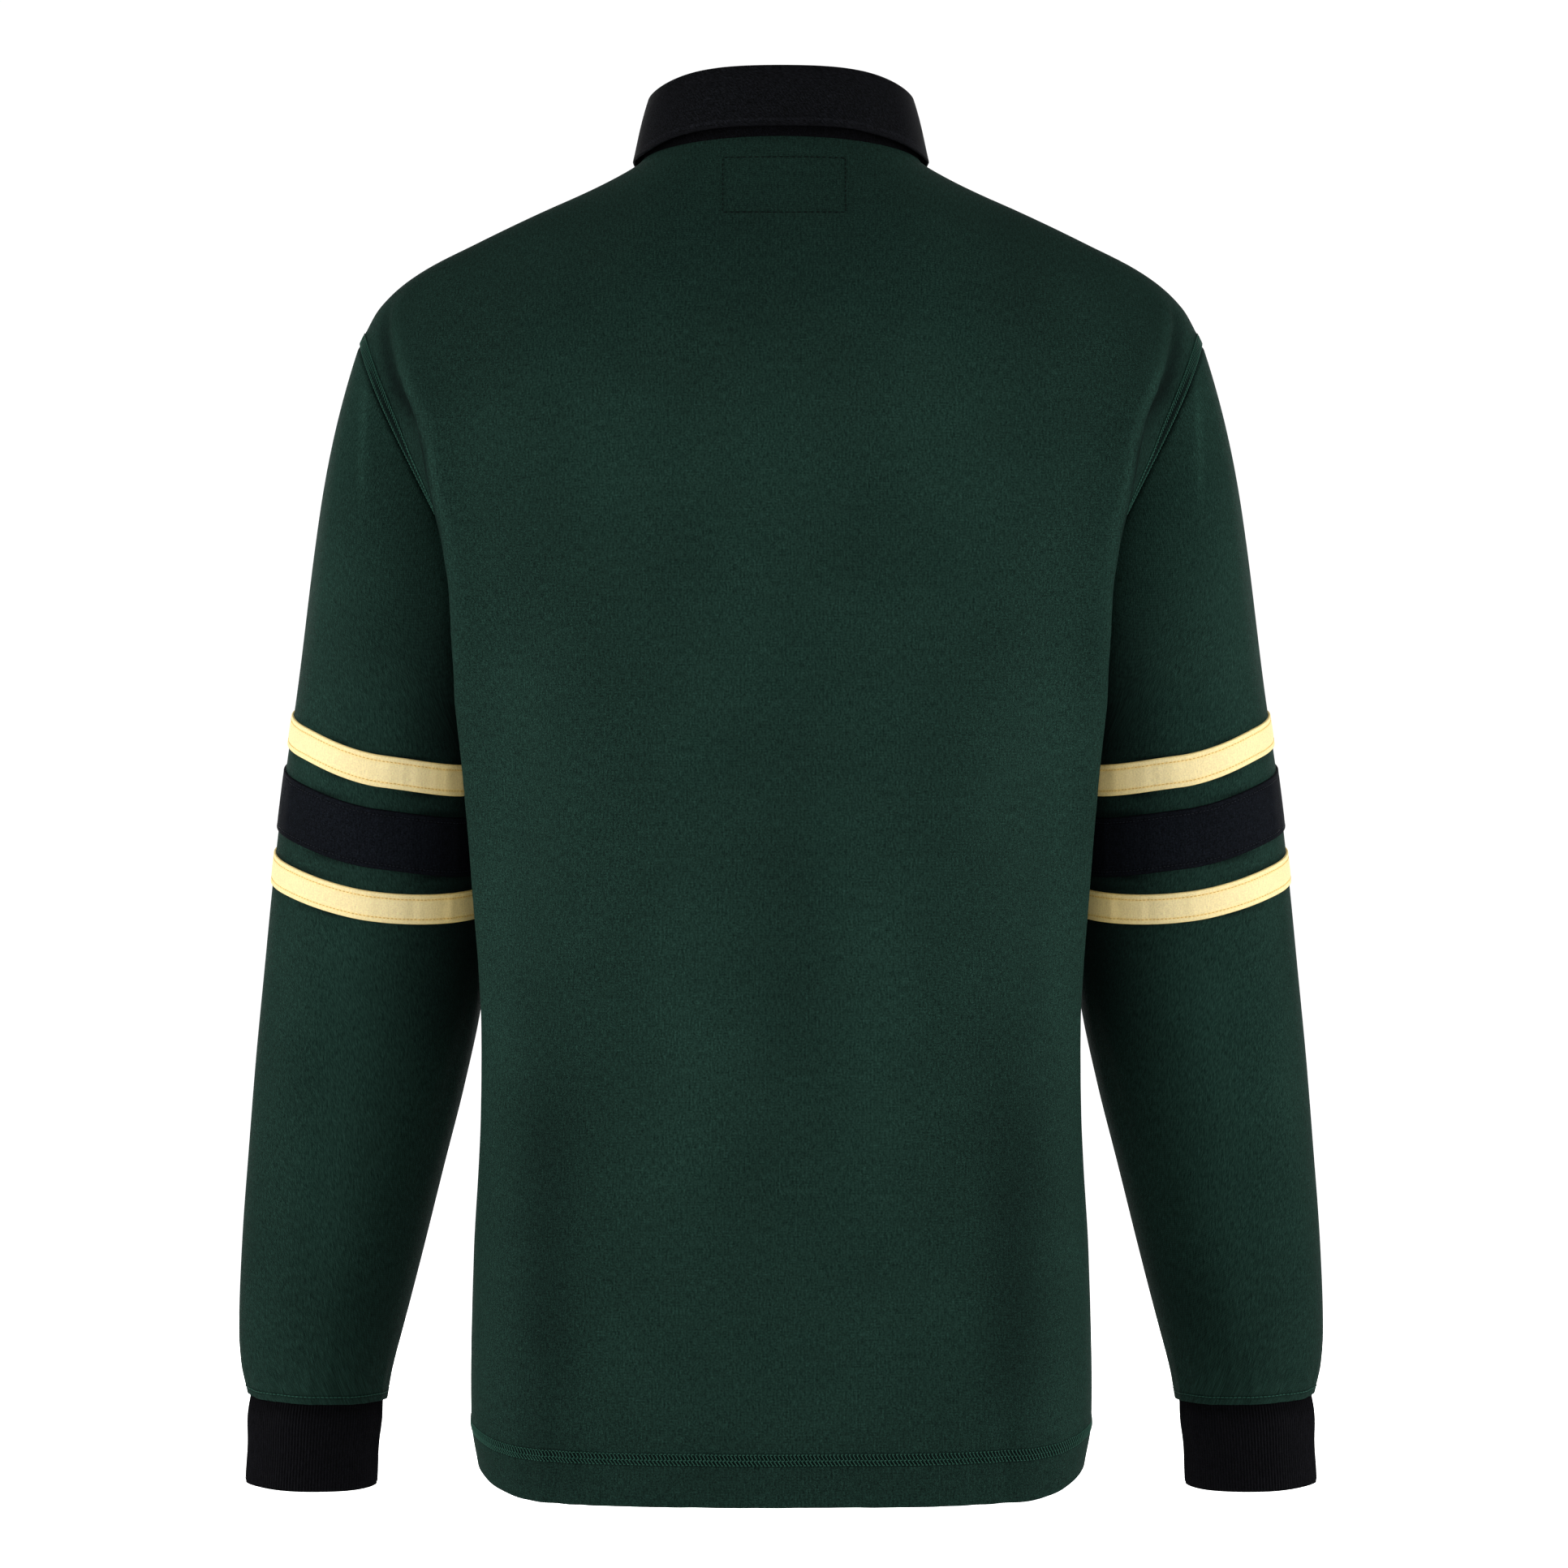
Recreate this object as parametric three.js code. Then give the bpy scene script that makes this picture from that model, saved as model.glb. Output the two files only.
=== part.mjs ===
// A long-sleeved rugby shirt in millimetres, filled out as if worn and open at neck, hem and cuffs.
// The origin is the middle of the neck base. +X is the wearer's left, the front faces -Y, +Z is up.
import * as THREE from "three";

// Cloth and seams
const CLOTH = 1.6;
const BAND_CLOTH = 1.0;
const SEAM_GAP = 0.3;
const BACK = 1;
const FRONT = -1;

// Grid of the solids: steps from underarm to shoulder tip, from hem to underarm, from centre to side
const ARMHOLE_STEPS = 12;
const BODY_STEPS = 11;
const HALF_COLUMNS = 12;
const NECK_COLUMNS = 5;

// Body sections from hem to underarm. square is the superellipse power of the outline, and the
// folds are how far the cloth stands out in a soft ridge beside the back and beside the front.
const BODY_ROWS = [
  { z: -725, seamX: 167.2, seamY: 0, backY: 117, frontY: -118, square: 2.9, backFold: 0, frontFold: 0 },
  { z: -693, seamX: 171.2, seamY: 0, backY: 121, frontY: -119, square: 2.9, backFold: 0, frontFold: 0 },
  { z: -600, seamX: 170.0, seamY: -4, backY: 120, frontY: -116, square: 2.8, backFold: 0, frontFold: 0 },
  { z: -552, seamX: 167.6, seamY: -8, backY: 118, frontY: -115, square: 2.7, backFold: 1, frontFold: 0 },
  { z: -469, seamX: 163.4, seamY: -14, backY: 118, frontY: -116, square: 2.7, backFold: 6, frontFold: 1 },
  { z: -400, seamX: 157.0, seamY: -18, backY: 120, frontY: -118, square: 2.8, backFold: 16, frontFold: 3 },
  { z: -345, seamX: 155.5, seamY: -18, backY: 123, frontY: -120, square: 2.9, backFold: 21, frontFold: 5 },
  { z: -295, seamX: 160.0, seamY: -8, backY: 126, frontY: -122, square: 3.0, backFold: 22, frontFold: 5 },
];
const HEM_SIDE = { rise: 12.5, fade: 6, from: 0.48 };
const BODY_FOLD = { [BACK]: 0.79, [FRONT]: 0.72, spread: 0.11, end: 0.86 };

// Armhole loop, from the underarm to the shoulder tip. depth is how far it stands back or forward.
const UNDERARM = { x: 160, y: -8, z: -295 };
const SHOULDER_TIP = { x: 233.5, y: 0, z: -96 };
const ARMHOLE = {
  [BACK]: { depth: 60, bow: 10, skew: 1.3 },
  [FRONT]: { depth: 58, bow: 13, skew: 1.0 },
};

// Neck seam and shoulder seam
const NECK = { halfWidth: 78, y: 3, sideZ: 3, backDepth: 63, backRise: 9.4, frontDepth: 81, frontDrop: 58 };
const NECK_SHARE = NECK_COLUMNS / HALF_COLUMNS;
const SHOULDER_LINE = [
  { x: 78, z: 3 },
  { x: 92, z: -5 },
  { x: 129, z: -21 },
  { x: 167.5, z: -39.3 },
  { x: 201.7, z: -57.3 },
  { x: 222, z: -75.3 },
  { x: 233.5, z: -96 },
];

// The yoke rises from the row at this share of the armhole, with its centre at z there. It arrives
// level at the shoulder seam, and at the neck seam as steeply as neckRise to neckAhead.
const YOKE = { share: 0.45, z: -190, square: 2.5, foldFade: 0.6, fullness: 1.5 };
const YOKE_TOP = { neckAhead: 0.5, neckRise: 0.85, neckFullness: 0.8, turnsLevelAt: 1.1 };
const SIDE_PULL_FROM = 0.6;

// Sleeve sections down the arm: x of the outer and inner edge, centre y, half depth, and in degrees
// how far the section tips forward and outward.
const SLEEVE_ROWS = [
  { z: -300, outX: 270.6, inX: 161.6, y: -18, depth: 64, forward: 11, outward: 7.4 },
  { z: -350, outX: 278.6, inX: 162.6, y: -30, depth: 62, forward: 12, outward: 7.4 },
  { z: -400, outX: 285.2, inX: 164.5, y: -40, depth: 59, forward: 11.5, outward: 7.2 },
  { z: -450, outX: 291.0, inX: 168.0, y: -50, depth: 56, forward: 10, outward: 7 },
  { z: -500, outX: 296.7, inX: 178.3, y: -59, depth: 53, forward: 8, outward: 6.5 },
  { z: -550, outX: 301.6, inX: 191.1, y: -68, depth: 50, forward: 6, outward: 6 },
  { z: -600, outX: 305.9, inX: 203.5, y: -74, depth: 47, forward: 4, outward: 5 },
  { z: -650, outX: 308.4, inX: 216.1, y: -80, depth: 44, forward: 2.5, outward: 3 },
  { z: -670, outX: 307.2, inX: 221.0, y: -82, depth: 41.6, forward: 2.3, outward: 2.4 },
  { z: -681, outX: 304.9, inX: 223.0, y: -83, depth: 39.6, forward: 2.3, outward: 2 },
  { z: -687, outX: 303.5, inX: 223.9, y: -83.4, depth: 38.7, forward: 2.3, outward: 2 },
];
const CAP_STEPS = 8;
const SLEEVE_STEPS_BELOW_BANDS = 11;
const SLEEVE_END_Z = -687;

// Direction in which the sleeve head leaves the armhole: down, out at the tip and out at the sides
const HEAD = { tipOut: 0.316, sideOut: 0.42, sideAcross: 0.3, down: 0.95, sideLift: 0.15, fullness: 1.05 };

// Bands laid round the sleeve, by the height of their edges at the sleeve's middle line
const BANDS = [
  { name: "band_upper", top: -311, bottom: -328, color: 0xf6e2ab },
  { name: "band_middle", top: -340, bottom: -373, color: 0x12171a },
  { name: "band_lower", top: -386, bottom: -403, color: 0xf6e2ab },
];

// Cuff sections: centre and half sizes, down from the tucked top
const CUFF_ROWS = [
  { z: -678, x: 263.3, y: -82.6, halfWidth: 36.7, depth: 36.2 },
  { z: -697, x: 265.5, y: -84.2, halfWidth: 37.5, depth: 36.8 },
  { z: -737, x: 267.9, y: -86.4, halfWidth: 37.2, depth: 36.4 },
];
const CUFF_LEAN = { forward: 2, outward: 1.5 };
const RIBS = 135;
const RIB_HEIGHT = 0.5;
const RIB_COLUMNS_PER_INNER = 6;

// Collar: the fold that the leaf turns over, and the leaf's lower edge
const ROLL_LINE = { halfWidth: 70, backY: 66, frontY: -74, backZ: 47, sideDrop: 8.8, frontZ: -24, radius: 2.4 };
const LEAF = { halfWidth: 81.6, backY: 77, backZ: 16.6, pointX: 56, pointZ: -92, lift: 2.8 };
const LEAF_EDGE = { sink: 1.1, narrow: 2.4, round: 0.95 };
const LEAF_LEAVES = { out: 0.3, down: 0.9 };
const STAND_LIFT = 0.45;
const COLLAR_END_GAP = 3;
const COLLAR_COLUMNS = 40;

// Front opening, its two strips and its buttons
const SLOT_HALF = 12;
const PLACKET_HALF = 17;
const SLOT_END_STEP = 3;
const PLACKET_BELOW_SLOT = 0.045;
const BUTTON = { radius: 7.5, height: 4, rim: 1.2, segments: 18, spacing: 52, fromNeck: 22 };

const RIGHT_ANGLE = Math.PI / 2;
const vec = (x, y, z) => new THREE.Vector3(x, y, z);
const lerp = THREE.MathUtils.lerp;
const radians = THREE.MathUtils.degToRad;
const smooth = (from, to, value) => THREE.MathUtils.smoothstep(value, from, to);
const power = (value, exponent) => Math.max(value, 0) ** exponent;

// Value of a column of a table at a height, on a smooth curve through its rows.
function valueAt(rows, column, at, key = "z") {
  const rising = rows[rows.length - 1][key] > rows[0][key];
  const last = rows.length - 2;
  let i = rows.findIndex((row, n) => (rising ? at <= rows[n + 1]?.[key] : at >= rows[n + 1]?.[key]));
  if (i < 0 || i > last) i = last;
  const slope = (n) => {
    const a = rows[Math.max(n - 1, 0)];
    const b = rows[Math.min(n + 1, rows.length - 1)];
    return (b[column] - a[column]) / (b[key] - a[key]);
  };
  const span = rows[i + 1][key] - rows[i][key];
  const t = THREE.MathUtils.clamp((at - rows[i][key]) / span, 0, 1);
  return hermite(rows[i][column], slope(i) * span, rows[i + 1][column], slope(i + 1) * span, t);
}

function hermite(from, leave, to, arrive, t) {
  const t2 = t * t;
  const t3 = t2 * t;
  return from * (2 * t3 - 3 * t2 + 1) + leave * (t3 - 2 * t2 + t) + to * (3 * t2 - 2 * t3) + arrive * (t3 - t2);
}

function hermitePoint(from, leave, to, arrive, t) {
  return vec(
    hermite(from.x, leave.x, to.x, arrive.x, t),
    hermite(from.y, leave.y, to.y, arrive.y, t),
    hermite(from.z, leave.z, to.z, arrive.z, t),
  );
}

// Armhole loop. angle is 0 at the shoulder tip and pi at the underarm, positive round the back.
function armholePoint(angle) {
  const side = angle < 0 ? FRONT : BACK;
  const { depth, bow, skew } = ARMHOLE[side];
  const height = (1 + Math.cos(angle)) / 2;
  const round = Math.sin(angle) ** 2;
  return vec(
    lerp(UNDERARM.x, SHOULDER_TIP.x, height) - bow * round * (1 - skew * Math.cos(angle)),
    lerp(UNDERARM.y, SHOULDER_TIP.y, height) + depth * Math.sin(angle),
    lerp(UNDERARM.z, SHOULDER_TIP.z, height),
  );
}

// Neck seam. angle is 0 at the centre back and pi at the centre front.
function neckPoint(angle) {
  const ahead = -Math.cos(angle);
  const depth = ahead < 0 ? NECK.backDepth : NECK.frontDepth;
  const dip = Math.max(ahead, 0) ** 2 * (NECK.frontDrop - NECK.backRise);
  const z = NECK.sideZ - NECK.backRise * ahead - dip;
  return vec(NECK.halfWidth * Math.sin(angle), NECK.y - depth * ahead, z);
}

function shoulderPoint(share) {
  const x = lerp(NECK.halfWidth, SHOULDER_TIP.x, share);
  return vec(x, lerp(NECK.y, SHOULDER_TIP.y, share), valueAt(SHOULDER_LINE, "z", x, "x"));
}

function foldBump(side, u) {
  const away = (u - BODY_FOLD[side]) / BODY_FOLD.spread;
  return Math.exp(-(away ** 2)) * (1 - smooth(BODY_FOLD.end, 1, u));
}

// One half of a body section: u is 0 at the centre and 1 at the side edge point.
function sectionPoint(side, u, edge, centreY, centreZ, square, fold) {
  const turn = u * RIGHT_ANGLE;
  const exponent = 2 / square;
  const across = power(Math.sin(turn), exponent);
  const inward = power(Math.cos(turn), exponent);
  return vec(
    edge.x * across + fold * foldBump(side, u),
    lerp(edge.y, centreY, inward),
    lerp(centreZ, edge.z, u * u),
  );
}

function bodyPoint(side, u, level) {
  const z = lerp(BODY_ROWS[0].z, UNDERARM.z, level);
  const at = (column) => valueAt(BODY_ROWS, column, z);
  const rise = HEM_SIDE.rise * (1 - level) ** HEM_SIDE.fade * smooth(HEM_SIDE.from, 1, u);
  const edge = vec(at("seamX"), at("seamY"), z);
  const centreY = at(side === BACK ? "backY" : "frontY");
  const fold = at(side === BACK ? "backFold" : "frontFold");
  const point = sectionPoint(side, u, edge, centreY, z, at("square"), fold);
  point.z += rise;
  return point;
}

// Body beside the armhole, up to the yoke: each section ends on the armhole loop.
function chestPoint(side, u, share) {
  const edge = armholePoint(side * Math.PI * (1 - share));
  const top = BODY_ROWS[BODY_ROWS.length - 1];
  const centreY = side === BACK ? top.backY : top.frontY;
  const fold = (side === BACK ? top.backFold : top.frontFold) * (1 - YOKE.foldFade * share);
  const centreZ = lerp(UNDERARM.z, YOKE.z, share / YOKE.share);
  const square = lerp(top.square, YOKE.square, share / YOKE.share);
  return sectionPoint(side, u, edge, centreY, centreZ, square, fold);
}

function topPoint(side, u) {
  if (u > NECK_SHARE) return shoulderPoint((u - NECK_SHARE) / (1 - NECK_SHARE));
  const turn = (u / NECK_SHARE) * RIGHT_ANGLE;
  return neckPoint(side === BACK ? turn : Math.PI - turn);
}

// The yoke bends from the chest over to the shoulder seam, or up to the neck seam.
function yokePoint(side, u, share) {
  const step = 1e-3;
  const from = chestPoint(side, u, YOKE.share);
  const leave = from.clone().sub(chestPoint(side, u, YOKE.share - step)).normalize();
  const to = topPoint(side, u);
  const { neckAhead, neckRise, neckFullness, turnsLevelAt } = YOKE_TOP;
  const atShoulder = smooth(0, NECK_SHARE * turnsLevelAt, u);
  const ahead = lerp(neckAhead, 1, atShoulder);
  const arrive = vec(0, -side * ahead, lerp(neckRise, 0, atShoulder)).normalize();
  const rise = to.z - from.z;
  const reach = Math.abs(to.y - from.y);
  leave.multiplyScalar(YOKE.fullness * rise);
  arrive.multiplyScalar(YOKE.fullness * lerp(rise * neckFullness, reach, atShoulder));
  return hermitePoint(from, leave, to, arrive, (share - YOKE.share) / (1 - YOKE.share));
}

// Body surface: u from centre to side, level 0 at the hem, 1 at the underarm and 2 at the top seam.
function panelHalf(side, u, level) {
  if (level <= 1) return bodyPoint(side, u, level);
  const share = level - 1;
  const surface = share <= YOKE.share ? chestPoint : yokePoint;
  const point = surface(side, u, share);
  const miss = armholePoint(side * Math.PI * (1 - share)).sub(surface(side, 1, share));
  return point.addScaledVector(miss, smooth(SIDE_PULL_FROM, 1, u) ** 2);
}

function panelPoint(side, u, level) {
  const point = panelHalf(side, Math.abs(u), level);
  if (u < 0) point.x = -point.x;
  return point;
}

function surfaceNormal(pointAt, u, v, [lowU, highU], [lowV, highV], sign) {
  const step = 2e-3;
  const alongU = pointAt(Math.min(u + step, highU), v).sub(pointAt(Math.max(u - step, lowU), v));
  const alongV = pointAt(u, Math.min(v + step, highV)).sub(pointAt(u, Math.max(v - step, lowV)));
  return alongU.cross(alongV).multiplyScalar(sign).normalize();
}

function panelNormal(side, u, level) {
  return surfaceNormal((a, b) => panelPoint(side, a, b), u, level, [-1, 1], [0, 2], -side);
}

// Sleeve: a section of the table at a height, and the point of its ring at an angle
function sleeveRing(z, angle) {
  const at = (column) => valueAt(SLEEVE_ROWS, column, z);
  const outward = radians(at("outward"));
  const forward = radians(at("forward"));
  const halfWidth = (at("outX") - at("inX")) / 2 / Math.cos(outward);
  const across = vec(Math.cos(outward), 0, Math.sin(outward));
  const back = vec(0, Math.cos(forward), -Math.sin(forward));
  return vec((at("outX") + at("inX")) / 2, at("y"), z)
    .addScaledVector(across, halfWidth * Math.cos(angle))
    .addScaledVector(back, at("depth") * Math.sin(angle));
}

// Sleeve head: from the armhole loop to the ring where the upper band starts
function sleeveHead(angle, share) {
  const top = BANDS[0].top;
  const round = Math.sin(angle) ** 2;
  const height = (1 + Math.cos(angle)) / 2;
  const from = armholePoint(angle);
  const to = sleeveRing(top, angle);
  const length = from.distanceTo(to) * HEAD.fullness;
  const leave = vec(
    HEAD.tipOut * height + HEAD.sideOut * round,
    HEAD.sideAcross * Math.sin(angle) * round,
    HEAD.sideLift * round - HEAD.down,
  );
  const arrive = sleeveRing(top - 1, angle).sub(to);
  return hermitePoint(from, leave.setLength(length), to, arrive.setLength(length), share);
}

// Sleeve surface: down is 0 at the armhole, 1 at the upper band's top edge and 2 at the sleeve end.
function sleevePoint(angle, down) {
  if (down < 1) return sleeveHead(angle, down);
  return sleeveRing(lerp(BANDS[0].top, SLEEVE_END_Z, down - 1), angle);
}

function sleeveDown(z) {
  return 1 + (z - BANDS[0].top) / (SLEEVE_END_Z - BANDS[0].top);
}

function sleeveNormal(angle, down) {
  return surfaceNormal(sleevePoint, angle, down, [-Infinity, Infinity], [0, 2], -1);
}

// Seam between body and sleeve: both walls end on one mitre, half the seam gap to each side of it.
function armholeMitre(angle) {
  const step = 4e-3;
  const side = angle < 0 ? FRONT : BACK;
  const level = 2 - Math.abs(angle) / Math.PI;
  const seam = armholePoint(angle);
  const along = armholePoint(angle + step).sub(armholePoint(angle - step)).normalize();
  const square = (direction) => direction.addScaledVector(along, -direction.dot(along)).normalize();
  const intoBody = square(panelPoint(side, 1 - step, level).sub(seam));
  const intoSleeve = square(sleevePoint(angle, step).sub(seam));
  const low = ((1 - Math.cos(angle)) / 2) ** 4;
  const across = intoSleeve.sub(intoBody).add(vec(low, 0, 0)).normalize();
  square(across);
  const outward = across.clone().cross(along).normalize();
  const lean = Math.abs(outward.dot(panelNormal(side, 1, level)));
  return { across, outward, thickness: CLOTH / Math.max(lean, 0.6) };
}

function toward(from, to, distance) {
  return to.clone().sub(from).setLength(distance);
}

// Closed wall between a grid of outer and a grid of inner points. closed joins its last column to
// its first, and skip leaves cells out. Every open edge of the grid gets a rim.
function wallGeometry(outer, inner, { closed = false, skip = () => false } = {}) {
  const rows = outer.length;
  const columns = outer[0].length;
  const cells = closed ? columns : columns - 1;
  const points = [...outer.flat(), ...inner.flat()];
  const index = (layer, i, j) => (layer * rows + i) * columns + (j % columns);
  const kept = (i, j) => {
    const column = closed ? (j + columns) % columns : j;
    return i >= 0 && i < rows - 1 && column >= 0 && column < cells && !skip(i, column);
  };
  const faces = [];
  const quad = (a, b, c, d) => faces.push([a, b, c], [a, c, d]);
  for (let i = 0; i < rows - 1; i += 1) {
    for (let j = 0; j < cells; j += 1) {
      if (!kept(i, j)) continue;
      const corner = (layer) => [
        index(layer, i, j),
        index(layer, i, j + 1),
        index(layer, i + 1, j + 1),
        index(layer, i + 1, j),
      ];
      const [a, b, c, d] = corner(0);
      const [e, f, g, h] = corner(1);
      quad(a, b, c, d);
      quad(e, h, g, f);
      if (!kept(i - 1, j)) quad(b, a, e, f);
      if (!kept(i, j + 1)) quad(c, b, f, g);
      if (!kept(i + 1, j)) quad(d, c, g, h);
      if (!kept(i, j - 1)) quad(a, d, h, e);
    }
  }
  return solidGeometry(points, faces);
}

// Indexed geometry from points and triangles, turned so that it faces outward.
function solidGeometry(points, faces) {
  let volume = 0;
  const used = new Map();
  const positions = [];
  const place = (n) => {
    if (!used.has(n)) {
      used.set(n, used.size);
      positions.push(points[n].x, points[n].y, points[n].z);
    }
    return used.get(n);
  };
  for (const [a, b, c] of faces) {
    volume += points[a].dot(points[b].clone().cross(points[c]));
  }
  const indices = faces.flatMap(([a, b, c]) => (volume < 0 ? [a, c, b] : [a, b, c]).map(place));
  const geometry = new THREE.BufferGeometry();
  geometry.setAttribute("position", new THREE.Float32BufferAttribute(positions, 3));
  geometry.setIndex(indices);
  geometry.computeVertexNormals();
  return geometry;
}

// The same geometry on the other side of the body
function mirrored(geometry) {
  const copy = geometry.clone();
  copy.scale(-1, 1, 1);
  const order = copy.getIndex();
  for (let i = 0; i < order.count; i += 3) {
    const second = order.getX(i + 1);
    order.setX(i + 1, order.getX(i + 2));
    order.setX(i + 2, second);
  }
  copy.computeVertexNormals();
  return copy;
}

// Share of the way from centre to side where the panel is at a distance x from the middle
function shareAtX(side, x, level) {
  let low = 0;
  let high = 0.9;
  for (let i = 0; i < 40; i += 1) {
    const middle = (low + high) / 2;
    if (panelHalf(side, middle, level).x < x) low = middle;
    else high = middle;
  }
  return (low + high) / 2;
}

// Level at which the front panel reaches a height, at a distance x from the middle
function frontLevelAtZ(x, z) {
  let low = 1;
  let high = 2;
  for (let i = 0; i < 40; i += 1) {
    const middle = (low + high) / 2;
    const u = x === 0 ? 0 : shareAtX(FRONT, x, middle);
    if (panelHalf(FRONT, u, middle).z < z) low = middle;
    else high = middle;
  }
  return (low + high) / 2;
}

const LEAF_POINT_LEVEL = frontLevelAtZ(LEAF.pointX, LEAF.pointZ);

const PANEL_LEVELS = [
  ...Array.from({ length: BODY_STEPS }, (_, i) => i / BODY_STEPS),
  ...Array.from({ length: ARMHOLE_STEPS + 1 }, (_, i) => 1 + i / ARMHOLE_STEPS),
];

// Outer and inner point of a panel, with its edges drawn in from the seams
function panelPair(side, u, level) {
  const inset = SEAM_GAP / 2;
  const step = 1e-2;
  const share = Math.abs(u);
  const outer = panelPoint(side, u, level);
  const shift = vec(0, 0, 0);
  let inward = panelNormal(side, u, level).multiplyScalar(-CLOTH);
  if (share === 1 && level >= 1) {
    const mitre = armholeMitre(side * Math.PI * (2 - level));
    const flip = vec(Math.sign(u), 1, 1);
    inward = mitre.outward.multiplyScalar(-mitre.thickness).multiply(flip);
    shift.addScaledVector(mitre.across.multiply(flip), -inset);
  }
  if (share === 1 && level <= 1) shift.y += side * inset;
  if (level === 2) {
    shift.add(toward(outer, panelPoint(side, u * (1 - step), 2 - step), inset));
    if (share > NECK_SHARE) shift.y += side * inset;
  }
  outer.add(shift);
  return { outer, inner: outer.clone().add(inward) };
}

function grid(rows, columns, pair) {
  const pairs = rows.map((row) => columns(row).map((column) => pair(column, row)));
  return [pairs.map((line) => line.map((p) => p.outer)), pairs.map((line) => line.map((p) => p.inner))];
}

const EVEN_SHARES = Array.from({ length: HALF_COLUMNS }, (_, j) => (j + 1) / HALF_COLUMNS);

function bothHalves(shares) {
  return [...shares.map((u) => -u).reverse(), 0, ...shares];
}

function backPanel() {
  const columns = () => bothHalves(EVEN_SHARES);
  const [outer, inner] = grid(PANEL_LEVELS, columns, (u, level) => panelPair(BACK, u, level));
  return wallGeometry(outer, inner);
}

// The front has a narrow column each side of the middle, and no cells between them in the slot.
function frontPanel() {
  const columns = (level) => bothHalves([shareAtX(FRONT, SLOT_HALF, level), ...EVEN_SHARES]);
  const [outer, inner] = grid(PANEL_LEVELS, columns, (u, level) => panelPair(FRONT, u, level));
  const slotRow = BODY_STEPS + SLOT_END_STEP;
  const middle = HALF_COLUMNS + 1;
  const skip = (i, j) => i >= slotRow && (j === middle - 1 || j === middle);
  return wallGeometry(outer, inner, { skip });
}

// Strip over or under the slot, from the front panel's own points moved out or in
function placketStrip(outside, inside) {
  const endLevel = 1 + SLOT_END_STEP / ARMHOLE_STEPS;
  const levels = [endLevel - PLACKET_BELOW_SLOT, ...PANEL_LEVELS.filter((level) => level >= endLevel)];
  const edges = [-PLACKET_HALF, -SLOT_HALF, 0, SLOT_HALF, PLACKET_HALF];
  const pair = (x, level) => {
    const u = x === 0 ? 0 : Math.sign(x) * shareAtX(FRONT, Math.abs(x), level);
    const base = panelPair(FRONT, u, level).outer;
    const normal = panelNormal(FRONT, u, level);
    return {
      outer: base.clone().addScaledVector(normal, outside),
      inner: base.clone().addScaledVector(normal, inside),
    };
  };
  const [outer, inner] = grid(levels, () => edges, pair);
  return wallGeometry(outer, inner);
}

const HEAD_DOWNS = Array.from({ length: CAP_STEPS }, (_, i) => i / CAP_STEPS);
const BAND_DOWNS = BANDS.flatMap((band) => [sleeveDown(band.top), sleeveDown(band.bottom)]);
const ARM_DOWNS = Array.from({ length: SLEEVE_STEPS_BELOW_BANDS }, (_, i) => {
  const last = BAND_DOWNS[BAND_DOWNS.length - 1];
  return lerp(last, 2, (i + 1) / SLEEVE_STEPS_BELOW_BANDS);
});
const ANGLES = Array.from({ length: 2 * ARMHOLE_STEPS }, (_, i) => {
  return Math.PI - (i * Math.PI) / ARMHOLE_STEPS;
});

function sleeve() {
  const pair = (angle, down) => {
    const outer = sleevePoint(angle, down);
    if (down > 0) {
      return { outer, inner: outer.clone().addScaledVector(sleeveNormal(angle, down), -CLOTH) };
    }
    const mitre = armholeMitre(angle);
    outer.addScaledVector(mitre.across, SEAM_GAP / 2);
    return { outer, inner: outer.clone().addScaledVector(mitre.outward, -mitre.thickness) };
  };
  const downs = [...HEAD_DOWNS, ...BAND_DOWNS, ...ARM_DOWNS];
  const [outer, inner] = grid(downs, () => ANGLES, pair);
  return wallGeometry(outer, inner, { closed: true });
}

function sleeveBand(band) {
  const pair = (angle, down) => {
    const normal = sleeveNormal(angle, down);
    const base = sleevePoint(angle, down).addScaledVector(normal, SEAM_GAP);
    return { outer: base.clone().addScaledVector(normal, BAND_CLOTH), inner: base };
  };
  const downs = [sleeveDown(band.top), sleeveDown(band.bottom)];
  const [outer, inner] = grid(downs, () => ANGLES, pair);
  return wallGeometry(outer, inner, { closed: true });
}

// Ring of a cuff with a number of sides. raised gives how far a side's corner stands out.
function cuffRing(row, sides, inset, raised) {
  const forward = radians(CUFF_LEAN.forward);
  const outward = radians(CUFF_LEAN.outward);
  const across = vec(Math.cos(outward), 0, Math.sin(outward));
  const back = vec(0, Math.cos(forward), -Math.sin(forward));
  return Array.from({ length: sides }, (_, i) => {
    const angle = (i / sides) * 2 * Math.PI;
    const grow = raised(i) - inset;
    return vec(row.x, row.y, row.z)
      .addScaledVector(across, (row.halfWidth + grow) * Math.cos(angle))
      .addScaledVector(back, (row.depth + grow) * Math.sin(angle));
  });
}

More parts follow.
